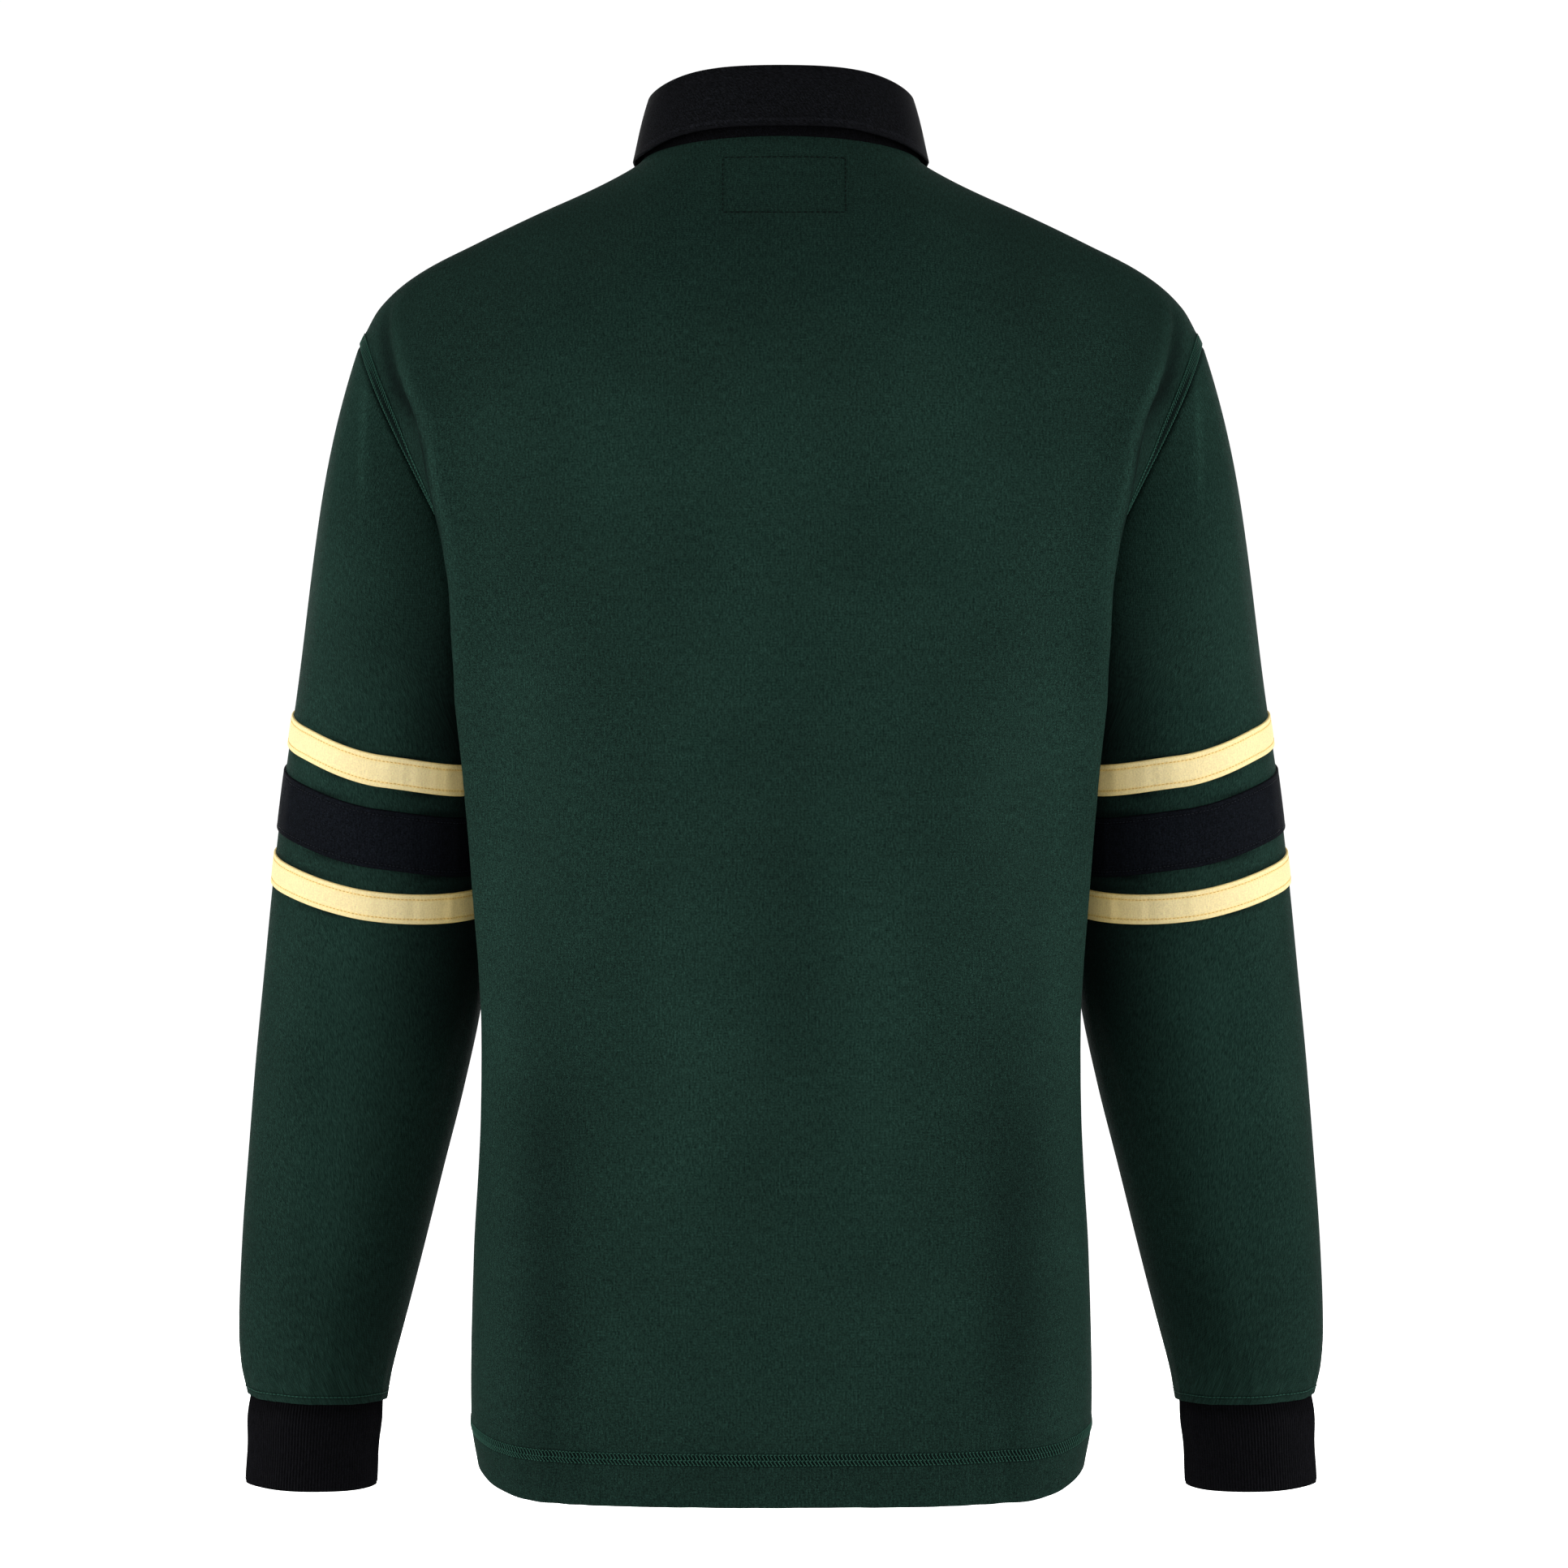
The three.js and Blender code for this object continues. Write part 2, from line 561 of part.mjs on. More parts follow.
// Cuff: ribs stand out on its outer face, over a plain inside with fewer sides.
function cuff() {
  const outerSides = 2 * RIBS;
  const innerSides = outerSides / RIB_COLUMNS_PER_INNER;
  const ribbed = (i) => (i % 2 ? -RIB_HEIGHT : 0);
  const ends = [CUFF_ROWS[0], CUFF_ROWS[CUFF_ROWS.length - 1]];
  const outer = CUFF_ROWS.map((row) => cuffRing(row, outerSides, 0, ribbed));
  const inner = ends.map((row) => cuffRing(row, innerSides, CLOTH, () => 0));
  const points = [...outer.flat(), ...inner.flat()];
  const faces = [];
  const onOuter = (ring, i) => ring * outerSides + (i % outerSides);
  const onInner = (ring, i) => outer.length * outerSides + ring * innerSides + (i % innerSides);
  for (let ring = 0; ring < outer.length - 1; ring += 1) {
    for (let i = 0; i < outerSides; i += 1) {
      faces.push([onOuter(ring, i), onOuter(ring + 1, i), onOuter(ring + 1, i + 1)]);
      faces.push([onOuter(ring, i), onOuter(ring + 1, i + 1), onOuter(ring, i + 1)]);
    }
  }
  for (let i = 0; i < innerSides; i += 1) {
    faces.push([onInner(0, i), onInner(0, i + 1), onInner(1, i + 1)]);
    faces.push([onInner(0, i), onInner(1, i + 1), onInner(1, i)]);
    for (const [ring, row] of [[0, 0], [1, outer.length - 1]]) {
      const first = i * RIB_COLUMNS_PER_INNER;
      const rim = [];
      for (let k = 0; k < RIB_COLUMNS_PER_INNER; k += 1) {
        const from = k < RIB_COLUMNS_PER_INNER / 2 ? i : i + 1;
        rim.push([onInner(ring, from), onOuter(row, first + k), onOuter(row, first + k + 1)]);
      }
      rim.push([onInner(ring, i), onOuter(row, first + RIB_COLUMNS_PER_INNER / 2), onInner(ring, i + 1)]);
      faces.push(...(ring === 0 ? rim : rim.map(([a, b, c]) => [a, c, b])));
    }
  }
  return solidGeometry(points, faces);
}

// Collar: angle is 0 at the centre back and pi at the centre front, on the +X half.
function rollLinePoint(angle) {
  const { halfWidth, backY, frontY, backZ, sideDrop, frontZ } = ROLL_LINE;
  const toBack = Math.cos(angle);
  const y = toBack * (toBack > 0 ? backY : -frontY);
  const ahead = Math.max(-toBack, 0);
  const behindZ = backZ - sideDrop * Math.sin(angle) ** 4;
  const z = ahead > 0 ? lerp(backZ - sideDrop, frontZ, ahead ** 2) : behindZ;
  return vec(halfWidth * Math.sin(angle), y, z);
}

// In front the leaf's edge rests on the chest: it is the front panel's own points moved out.
function leafOnChest(ahead) {
  const level = lerp(2, LEAF_POINT_LEVEL, ahead ** LEAF_EDGE.sink);
  const x = lerp(LEAF.halfWidth, LEAF.pointX, ahead ** LEAF_EDGE.narrow);
  const u = shareAtX(FRONT, x, level);
  return panelHalf(FRONT, u, level).addScaledVector(panelNormal(FRONT, u, level), LEAF.lift);
}

function leafEdgePoint(angle) {
  const ahead = -Math.cos(angle);
  if (ahead >= 0) return leafOnChest(ahead);
  const side = leafOnChest(0);
  const around = 1 - Math.sin(angle) ** 4;
  return vec(
    side.x * power(Math.sin(angle), LEAF_EDGE.round),
    lerp(side.y, LEAF.backY, -ahead),
    lerp(side.z, LEAF.backZ, around),
  );
}

function rollOutward(angle) {
  const step = 1e-3;
  const along = rollLinePoint(angle + step).sub(rollLinePoint(angle - step));
  return vec(-along.y, along.x, 0).normalize();
}

// Leaf: roll is the part that turns over the fold, then the fall runs down to the edge.
const LEAF_ROLL = [0, 50, 100, 150];
const LEAF_FALL = [0.34, 0.67, 1];

function leafLine(angle, rise) {
  const middle = rollLinePoint(angle);
  const out = rollOutward(angle);
  const edge = leafEdgePoint(angle);
  const radius = ROLL_LINE.radius + rise;
  const rolled = (degrees) => {
    return middle
      .clone()
      .addScaledVector(out, -radius * Math.cos(radians(degrees)))
      .add(vec(0, 0, radius * Math.sin(radians(degrees))));
  };
  const start = rolled(LEAF_ROLL[LEAF_ROLL.length - 1]);
  const fall = start.distanceTo(edge);
  const leave = out.clone().multiplyScalar(LEAF_LEAVES.out).add(vec(0, 0, -LEAF_LEAVES.down)).setLength(fall);
  const arrive = edge.clone().sub(start).setLength(fall);
  const down = edge.clone().sub(start).normalize();
  const across = out.clone().addScaledVector(down, -out.dot(down)).normalize();
  return [
    ...LEAF_ROLL.map(rolled),
    ...LEAF_FALL.map((t) => hermitePoint(start, leave, edge, arrive, t).addScaledVector(across, rise)),
  ];
}

function collarAngles() {
  const end = Math.PI - Math.asin(COLLAR_END_GAP / 2 / ROLL_LINE.halfWidth);
  return Array.from({ length: COLLAR_COLUMNS + 1 }, (_, i) => lerp(-end, end, i / COLLAR_COLUMNS));
}

function onBothHalves(pointsAt, angle) {
  const points = pointsAt(Math.abs(angle));
  if (angle < 0) points.forEach((p) => p.setX(-p.x));
  return points;
}

function collarLeaf() {
  const lines = (rise) => collarAngles().map((angle) => onBothHalves((a) => leafLine(a, rise), angle));
  return wallGeometry(lines(0), lines(-CLOTH));
}

// The neck seam's own chords, so that the stand follows the panels' edges
function neckChordPoint(angle) {
  const step = RIGHT_ANGLE / NECK_COLUMNS;
  const first = Math.min(Math.floor(angle / step), 2 * NECK_COLUMNS - 1) * step;
  return neckPoint(first).lerp(neckPoint(first + step), (angle - first) / step);
}

// Stand: from the neck seam up to just under the leaf's roll, inside it
function standLine(angle, inset) {
  const out = rollOutward(angle);
  const face = ROLL_LINE.radius - CLOTH + inset;
  const base = neckChordPoint(angle).add(vec(0, 0, STAND_LIFT)).addScaledVector(out, -inset - SEAM_GAP);
  const top = rollLinePoint(angle).addScaledVector(out, -face).add(vec(0, 0, -SEAM_GAP));
  return [0, 0.5, 1].map((t) => base.clone().lerp(top, t));
}

function collarStand() {
  const lines = (inset) => collarAngles().map((angle) => onBothHalves((a) => standLine(a, inset), angle));
  return wallGeometry(lines(0), lines(CLOTH));
}

// Domed rubber button, its axis on +Y before it is turned to the placket
function buttonGeometry() {
  const { radius, height, rim, segments } = BUTTON;
  const profile = [
    [0, 0],
    [radius - rim * 0.6, 0],
    [radius, rim * 0.7],
    [radius, height - rim],
    [radius - rim, height - rim * 0.3],
    [radius * 0.5, height * 0.93],
    [0, height],
  ].map(([x, y]) => new THREE.Vector2(x, y));
  return new THREE.LatheGeometry(profile, segments);
}

const cloth = (color, roughness = 0.9) => new THREE.MeshStandardMaterial({ color, roughness, metalness: 0 });
const green = cloth(0x1a302a);
const collarCloth = cloth(0x101114);
const ribKnit = cloth(0x0f0f11);
const rubber = cloth(0x1c1c1e, 0.6);

const shirt = new THREE.Group();
shirt.name = "rugby_shirt";

function add(name, geometry, material, parent = shirt) {
  const mesh = new THREE.Mesh(geometry, material);
  mesh.name = name;
  parent.add(mesh);
  return mesh;
}

function addPair(name, geometry, material) {
  add(`${name}_left`, geometry, material);
  add(`${name}_right`, mirrored(geometry), material);
}

add("back_panel", backPanel(), green);
add("front_panel", frontPanel(), green);
addPair("sleeve", sleeve(), green);
for (const band of BANDS) addPair(band.name, sleeveBand(band), cloth(band.color));
addPair("cuff", cuff(), ribKnit);
add("collar_stand", collarStand(), collarCloth);
add("collar_leaf", collarLeaf(), collarCloth);
const PLACKET_OUT = SEAM_GAP + CLOTH;
add("placket_top", placketStrip(PLACKET_OUT, SEAM_GAP), green);
add("placket_under", placketStrip(-CLOTH - SEAM_GAP, -2 * CLOTH - SEAM_GAP), green);

for (let i = 0; i < 3; i += 1) {
  const level = frontLevelAtZ(0, neckPoint(Math.PI).z - BUTTON.fromNeck - i * BUTTON.spacing);
  const normal = panelNormal(FRONT, 0, level);
  const button = add(`button_${i + 1}`, buttonGeometry(), rubber);
  button.position.copy(panelPoint(FRONT, 0, level)).addScaledVector(normal, PLACKET_OUT + SEAM_GAP);
  button.quaternion.setFromUnitVectors(vec(0, 1, 0), normal);
}

export default shirt;
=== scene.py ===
# The looks of a long-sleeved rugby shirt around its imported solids, seen from behind.
# The shapes are worked out in millimetres from the garment's own sizes and scaled when a mesh is made.
# +X is the wearer's left, the front faces -Y, +Z is up, and the origin is the middle of the neck base.
import math

import bpy
import numpy as np
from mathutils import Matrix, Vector


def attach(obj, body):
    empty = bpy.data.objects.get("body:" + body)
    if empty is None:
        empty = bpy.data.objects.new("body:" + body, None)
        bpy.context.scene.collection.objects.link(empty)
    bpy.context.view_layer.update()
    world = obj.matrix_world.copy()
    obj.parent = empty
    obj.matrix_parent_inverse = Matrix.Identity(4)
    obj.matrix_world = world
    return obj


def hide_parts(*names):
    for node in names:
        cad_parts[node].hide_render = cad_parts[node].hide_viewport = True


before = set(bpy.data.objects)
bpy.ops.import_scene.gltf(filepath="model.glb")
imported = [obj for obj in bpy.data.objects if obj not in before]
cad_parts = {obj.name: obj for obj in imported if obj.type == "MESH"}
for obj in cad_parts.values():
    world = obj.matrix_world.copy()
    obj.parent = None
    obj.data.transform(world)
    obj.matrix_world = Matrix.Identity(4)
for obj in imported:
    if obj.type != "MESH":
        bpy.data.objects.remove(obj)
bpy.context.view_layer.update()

MM = 0.001
BACK, FRONT = 1, -1
LEFT, RIGHT = 1, -1
PI = math.pi


def table(columns, *rows):
    """A table with named columns, a row for each section."""
    return dict(zip(columns.split(), np.array(rows, float).T))


# Cloth, in millimetres
CLOTH = 1.6
BAND_CLOTH = 1.0
SEAM_GAP = 0.3

# Body sections from hem to underarm
BODY = table(
    "z seam_x seam_y back_y front_y square back_fold front_fold",
    (-725, 167.2, 0, 117, -118, 2.9, 0, 0),
    (-693, 171.2, 0, 121, -119, 2.9, 0, 0),
    (-600, 170.0, -4, 120, -116, 2.8, 0, 0),
    (-552, 167.6, -8, 118, -115, 2.7, 1, 0),
    (-469, 163.4, -14, 118, -116, 2.7, 6, 1),
    (-400, 157.0, -18, 120, -118, 2.8, 16, 3),
    (-345, 155.5, -18, 123, -120, 2.9, 21, 5),
    (-295, 160.0, -8, 126, -122, 3.0, 22, 5),
)
HEM_SIDE = {"rise": 12.5, "fade": 6, "start": 0.48}
FOLD_AT = {BACK: 0.79, FRONT: 0.72}
FOLD_SPREAD, FOLD_END = 0.11, 0.86

# Armhole loop from underarm to shoulder tip, neck seam and shoulder seam
UNDERARM = np.array((160.0, -8.0, -295.0))
SHOULDER_TIP = np.array((233.5, 0.0, -96.0))
ARMHOLE = {BACK: {"depth": 60, "bow": 10, "skew": 1.3}, FRONT: {"depth": 58, "bow": 13, "skew": 1.0}}
NECK = {
    "half_width": 78, "y": 3, "side_z": 3,
    "back_depth": 63, "back_rise": 9.4, "front_depth": 81, "front_drop": 58,
}
NECK_SHARE = 5 / 12
SHOULDER = table(
    "x z", (78, 3), (92, -5), (129, -21), (167.5, -39.3), (201.7, -57.3), (222, -75.3), (233.5, -96)
)
YOKE = {"share": 0.45, "z": -190, "square": 2.5, "fold_fade": 0.6, "fullness": 1.5}
YOKE_TOP = {"neck_ahead": 0.5, "neck_rise": 0.85, "neck_fullness": 0.8, "turns_level_at": 1.1}
SIDE_PULL_FROM = 0.6
# Millimetres of cloth for one unit of level at the shoulder seam, and the sleeve's radius at its seam
TOP_SPEED, SEAM_RADIUS = 150, 50

# Sleeve sections down the arm
SLEEVE = table(
    "z out_x in_x y depth forward outward",
    (-300, 270.6, 161.6, -18, 64, 11, 7.4),
    (-350, 278.6, 162.6, -30, 62, 12, 7.4),
    (-400, 285.2, 164.5, -40, 59, 11.5, 7.2),
    (-450, 291.0, 168.0, -50, 56, 10, 7),
    (-500, 296.7, 178.3, -59, 53, 8, 6.5),
    (-550, 301.6, 191.1, -68, 50, 6, 6),
    (-600, 305.9, 203.5, -74, 47, 4, 5),
    (-650, 308.4, 216.1, -80, 44, 2.5, 3),
    (-670, 307.2, 221.0, -82, 41.6, 2.3, 2.4),
    (-681, 304.9, 223.0, -83, 39.6, 2.3, 2),
    (-687, 303.5, 223.9, -83.4, 38.7, 2.3, 2),
)
HEAD = {"tip_out": 0.316, "side_out": 0.42, "side_across": 0.3, "down": 0.95, "side_lift": 0.15, "fullness": 1.05}
SLEEVE_TOP_Z, SLEEVE_END_Z = -311, -687
BANDS = {"band_upper": (-311, -328), "band_middle": (-340, -373), "band_lower": (-386, -403)}

# Cuff sections from the tucked top down
CUFF = table("z x y half_width depth", (-678, 263.3, -82.6, 36.7, 36.2), (-697, 265.5, -84.2, 37.5, 36.8),
             (-737, 267.9, -86.4, 37.2, 36.4))
CUFF_LEAN = {"forward": 2, "outward": 1.5}
RIBS, RIB_HEIGHT = 135, 0.55

# Collar
ROLL_LINE = {
    "half_width": 70, "back_y": 66, "front_y": -74,
    "back_z": 47, "side_drop": 8.8, "drop_power": 4, "front_z": -24,
}
ROLL_RADIUS = 2.4
LEAF = {"half_width": 79.4, "back_y": 77, "back_z": 16.6, "point_x": 56, "point_z": -92, "lift": 2.1}
LEAF_EDGE = {"sink": 1.1, "narrow": 2.4, "round": 0.95, "around": 3.1}
COLLAR_END_GAP = 3
STAND_SINK = 2.2

# Front opening
SLOT_HALF, PLACKET_HALF = 12, 17
SLOT_END_LEVEL = 1.25
PLACKET_END_LEVEL = 1.205
PLACKET_OUT = SEAM_GAP + CLOTH
PLACKET_ROW = 14.4
BUTTON = {"radius": 7.5, "height": 4.0, "rim": 1.2, "spacing": 52, "from_neck": 22}

# Sewing: distance between stitches and rows, measured on the photograph
STITCH = {"hem": 2.1, "armhole": 1.9, "band": 2.2, "collar": 2.2, "cuff": 2.4, "patch": 3.2}
THREAD_RADIUS = 0.36
ARMHOLE_ROWS = (1.7, 7.2)
CUFF_ROW = 4.5
HEM_ROWS_Z = (-696.1, -699.2, -701.8)
HEM_BAND_TOP_Z = -694.5


def lerp(a, b, t):
    return a + (b - a) * t


def smooth(start, end, value):
    t = np.clip((value - start) / (end - start), 0, 1)
    return t * t * (3 - 2 * t)


def vec(x, y, z):
    return np.stack(np.broadcast_arrays(x, y, z), -1).astype(float)


def unit(vectors):
    return vectors / np.maximum(np.linalg.norm(vectors, axis=-1, keepdims=True), 1e-12)


def dot(a, b):
    return (a * b).sum(-1, keepdims=True)


def hill(value, middle, spread):
    return np.exp(-(((value - middle) / spread) ** 2))


def hermite(start, leave, end, arrive, t):
    t2, t3 = t * t, t * t * t
    return start * (2 * t3 - 3 * t2 + 1) + leave * (t3 - 2 * t2 + t) + end * (3 * t2 - 2 * t3) + arrive * (t3 - t2)


def curve(rows, column, at, key="z"):
    """A column of a table at a place, on a smooth curve through its rows."""
    keys, values = rows[key], rows[column]
    if keys[0] > keys[-1]:
        keys, values = keys[::-1], values[::-1]
    last = len(keys) - 1
    before, after = np.maximum(np.arange(last + 1) - 1, 0), np.minimum(np.arange(last + 1) + 1, last)
    slopes = (values[after] - values[before]) / (keys[after] - keys[before])
    i = np.clip(np.searchsorted(keys, at) - 1, 0, last - 1)
    span = keys[i + 1] - keys[i]
    t = np.clip((at - keys[i]) / span, 0, 1)
    return hermite(values[i], slopes[i] * span, values[i + 1], slopes[i + 1] * span, t)


def armhole_point(angle):
    """Armhole loop: angle is 0 at the shoulder tip and pi at the underarm, positive round the back."""
    pick = {k: np.where(angle < 0, ARMHOLE[FRONT][k], ARMHOLE[BACK][k]) for k in ("depth", "bow", "skew")}
    height = (1 + np.cos(angle)) / 2
    round_it = np.sin(angle) ** 2
    out = lerp(UNDERARM, SHOULDER_TIP, height[..., None])
    out[..., 0] -= pick["bow"] * round_it * (1 - pick["skew"] * np.cos(angle))
    out[..., 1] += pick["depth"] * np.sin(angle)
    return out


def neck_point(angle):
    """Neck seam: angle is 0 at the centre back and pi at the centre front."""
    ahead = -np.cos(angle)
    depth = np.where(ahead < 0, NECK["back_depth"], NECK["front_depth"])
    dip = np.maximum(ahead, 0) ** 2 * (NECK["front_drop"] - NECK["back_rise"])
    z = NECK["side_z"] - NECK["back_rise"] * ahead - dip
    return vec(NECK["half_width"] * np.sin(angle), NECK["y"] - depth * ahead, z)


def shoulder_point(share):
    x = lerp(NECK["half_width"], SHOULDER_TIP[0], share)
    return vec(x, lerp(NECK["y"], SHOULDER_TIP[1], share), curve(SHOULDER, "z", x, "x"))


def section_point(side, u, edge, centre_y, centre_z, square, fold):
    """Half a body section: u is 0 at the centre and 1 at the side edge."""
    turn = u * PI / 2
    across = np.sin(turn) ** (2 / square)
    inward = np.maximum(np.cos(turn), 0) ** (2 / square)
    bump = hill(u, FOLD_AT[side], FOLD_SPREAD) * (1 - smooth(FOLD_END, 1, u))
    return vec(
        edge[..., 0] * across + fold * bump,
        lerp(edge[..., 1], centre_y, inward),
        lerp(centre_z, edge[..., 2], u * u),
    )


def body_point(side, u, level):
    z = lerp(BODY["z"][0], UNDERARM[2], level)
    edge = vec(curve(BODY, "seam_x", z), curve(BODY, "seam_y", z), z)
    name = "back" if side == BACK else "front"
    point = section_point(
        side, u, edge, curve(BODY, name + "_y", z), z, curve(BODY, "square", z), curve(BODY, name + "_fold", z)
    )
    point[..., 2] += HEM_SIDE["rise"] * (1 - level) ** HEM_SIDE["fade"] * smooth(HEM_SIDE["start"], 1, u)
    return point


def chest_point(side, u, share):
    name = "back" if side == BACK else "front"
    up = share / YOKE["share"]
    return section_point(
        side,
        u,
        armhole_point(side * PI * (1 - share)),
        BODY[name + "_y"][-1],
        lerp(UNDERARM[2], YOKE["z"], up),
        lerp(BODY["square"][-1], YOKE["square"], up),
        BODY[name + "_fold"][-1] * (1 - YOKE["fold_fade"] * share),
    )


def top_point(side, u):
    turn = np.minimum(u / NECK_SHARE, 1) * PI / 2
    on_neck = neck_point(turn if side == BACK else PI - turn)
    on_shoulder = shoulder_point(np.maximum(u - NECK_SHARE, 0) / (1 - NECK_SHARE))
    return np.where((u > NECK_SHARE)[..., None], on_shoulder, on_neck)


def yoke_point(side, u, share):
    """The yoke bends from the chest over to the shoulder seam, or up to the neck seam."""
    row = np.full_like(u, YOKE["share"])
    start = chest_point(side, u, row)
    leave = unit(start - chest_point(side, u, row - 1e-3))
    end = top_point(side, u)
    at_shoulder = smooth(0, NECK_SHARE * YOKE_TOP["turns_level_at"], u)
    ahead = lerp(YOKE_TOP["neck_ahead"], 1, at_shoulder)
    arrive = unit(vec(0, -side * ahead, lerp(YOKE_TOP["neck_rise"], 0, at_shoulder)))
    rise = end[..., 2] - start[..., 2]
    reach = np.abs(end[..., 1] - start[..., 1])
    leave *= (YOKE["fullness"] * rise)[..., None]
    arrive *= (YOKE["fullness"] * lerp(rise * YOKE_TOP["neck_fullness"], reach, at_shoulder))[..., None]
    t = (share - YOKE["share"]) / (1 - YOKE["share"])
    return hermite(start, leave, end, arrive, t[..., None])


def panel_point(side, u, level):
    """Body surface: u from -1 to 1 across, level 0 at the hem, 1 at the underarm, 2 at the top seam."""
    u, level = np.broadcast_arrays(np.asarray(u, float), np.asarray(level, float))
    across, share = np.abs(u), np.clip(level - 1, 0, 1)
    low, high = np.minimum(share, YOKE["share"]), np.maximum(share, YOKE["share"])
    edge = np.ones_like(across)
    in_chest = (share <= YOKE["share"])[..., None]
    above = np.where(in_chest, chest_point(side, across, low), yoke_point(side, across, high))
    above_edge = np.where(in_chest, chest_point(side, edge, low), yoke_point(side, edge, high))
    miss = armhole_point(side * PI * (1 - share)) - above_edge
    above = above + miss * (smooth(SIDE_PULL_FROM, 1, across) ** 2)[..., None]
    point = np.where((level <= 1)[..., None], body_point(side, across, np.minimum(level, 1)), above)
    point[..., 0] *= np.where(u < 0, -1, 1)
    return point


def surface_normal(point_at, a, b, a_range, b_range, sign):
    step = 2e-3
    along_a = point_at(np.minimum(a + step, a_range[1]), b) - point_at(np.maximum(a - step, a_range[0]), b)
    along_b = point_at(a, np.minimum(b + step, b_range[1])) - point_at(a, np.maximum(b - step, b_range[0]))
    return unit(np.cross(along_a, along_b) * sign)


def panel_normal(side, u, level):
    u, level = np.broadcast_arrays(np.asarray(u, float), np.asarray(level, float))
    return surface_normal(lambda a, b: panel_point(side, a, b), u, level, (-1, 1), (0, 2), -side)


def sleeve_ring(z, angle):
    outward, forward = np.radians(curve(SLEEVE, "outward", z)), np.radians(curve(SLEEVE, "forward", z))
    out_x, in_x = curve(SLEEVE, "out_x", z), curve(SLEEVE, "in_x", z)
    half_width = (out_x - in_x) / 2 / np.cos(outward) * np.cos(angle)
    depth = curve(SLEEVE, "depth", z) * np.sin(angle)
    return vec(
        (out_x + in_x) / 2 + half_width * np.cos(outward),
        curve(SLEEVE, "y", z) + depth * np.cos(forward),
        z + half_width * np.sin(outward) - depth * np.sin(forward),
    )


def sleeve_head(angle, share):
    round_it, height = np.sin(angle) ** 2, (1 + np.cos(angle)) / 2
    start = armhole_point(angle)
    end = sleeve_ring(np.full_like(angle, SLEEVE_TOP_Z), angle)
    length = np.linalg.norm(end - start, axis=-1, keepdims=True) * HEAD["fullness"]
    leave = vec(
        HEAD["tip_out"] * height + HEAD["side_out"] * round_it,
        HEAD["side_across"] * np.sin(angle) * round_it,
        HEAD["side_lift"] * round_it - HEAD["down"],
    )
    arrive = sleeve_ring(np.full_like(angle, SLEEVE_TOP_Z - 1.0), angle) - end
    return hermite(start, unit(leave) * length, end, unit(arrive) * length, share[..., None])


def sleeve_point(angle, down):
    """Sleeve surface: down is 0 at the armhole, 1 at the upper band's top edge, 2 at the sleeve end."""
    angle, down = np.broadcast_arrays(np.asarray(angle, float), np.asarray(down, float))
    below = sleeve_ring(lerp(SLEEVE_TOP_Z, SLEEVE_END_Z, np.maximum(down - 1, 0)), angle)
    return np.where((down < 1)[..., None], sleeve_head(angle, np.minimum(down, 1)), below)


def sleeve_down(z):
    return 1 + (z - SLEEVE_TOP_Z) / (SLEEVE_END_Z - SLEEVE_TOP_Z)


def sleeve_normal(angle, down):
    angle, down = np.broadcast_arrays(np.asarray(angle, float), np.asarray(down, float))
    return surface_normal(sleeve_point, angle, down, (-9, 9), (0, 2), -1)


def armhole_outward(angle):
    """Direction out of the seam between body and sleeve, halfway between their surfaces."""
    step = 4e-3
    level = 2 - np.abs(angle) / PI
    seam = armhole_point(angle)
    along = unit(armhole_point(angle + step) - armhole_point(angle - step))

    def square(direction):
        return unit(direction - along * dot(direction, along))

    beside = np.where(
        (angle < 0)[..., None], panel_point(FRONT, 1 - step, level), panel_point(BACK, 1 - step, level)
    )
    low = ((1 - np.cos(angle)) / 2) ** 4
    across = square(sleeve_point(angle, step) - seam) - square(beside - seam) + vec(low, 0, 0)
    return unit(np.cross(square(across), along))


def share_at_x(side, x, level):
    low, high = np.zeros_like(level), np.full_like(level, 0.9)
    for _ in range(30):
        middle = (low + high) / 2
        short = panel_point(side, middle, level)[..., 0] < x
        low, high = np.where(short, middle, low), np.where(short, high, middle)
    return (low + high) / 2


def level_at_z(side, u, z):
    """Level at which a panel's line of constant u reaches a height."""
    low, high = np.zeros_like(z), np.full_like(z, 2.0)
    for _ in range(30):
        middle = (low + high) / 2
        below = panel_point(side, u, middle)[..., 2] < z
        low, high = np.where(below, middle, low), np.where(below, high, middle)
    return (low + high) / 2


def front_level_at(x, z):
    low, high = np.ones(1), np.full(1, 2.0)
    for _ in range(30):
        middle = (low + high) / 2
        below = panel_point(FRONT, share_at_x(FRONT, x, middle), middle)[..., 2] < z
        low, high = np.where(below, middle, low), np.where(below, high, middle)
    return float(low[0])


# Meshes

def travelled(points, axis):
    """Distance along each line of a grid from its start."""
    steps = np.linalg.norm(np.diff(points, axis=axis), axis=-1)
    return np.concatenate([np.zeros_like(np.take(steps, [0], axis)), np.cumsum(steps, axis)], axis)


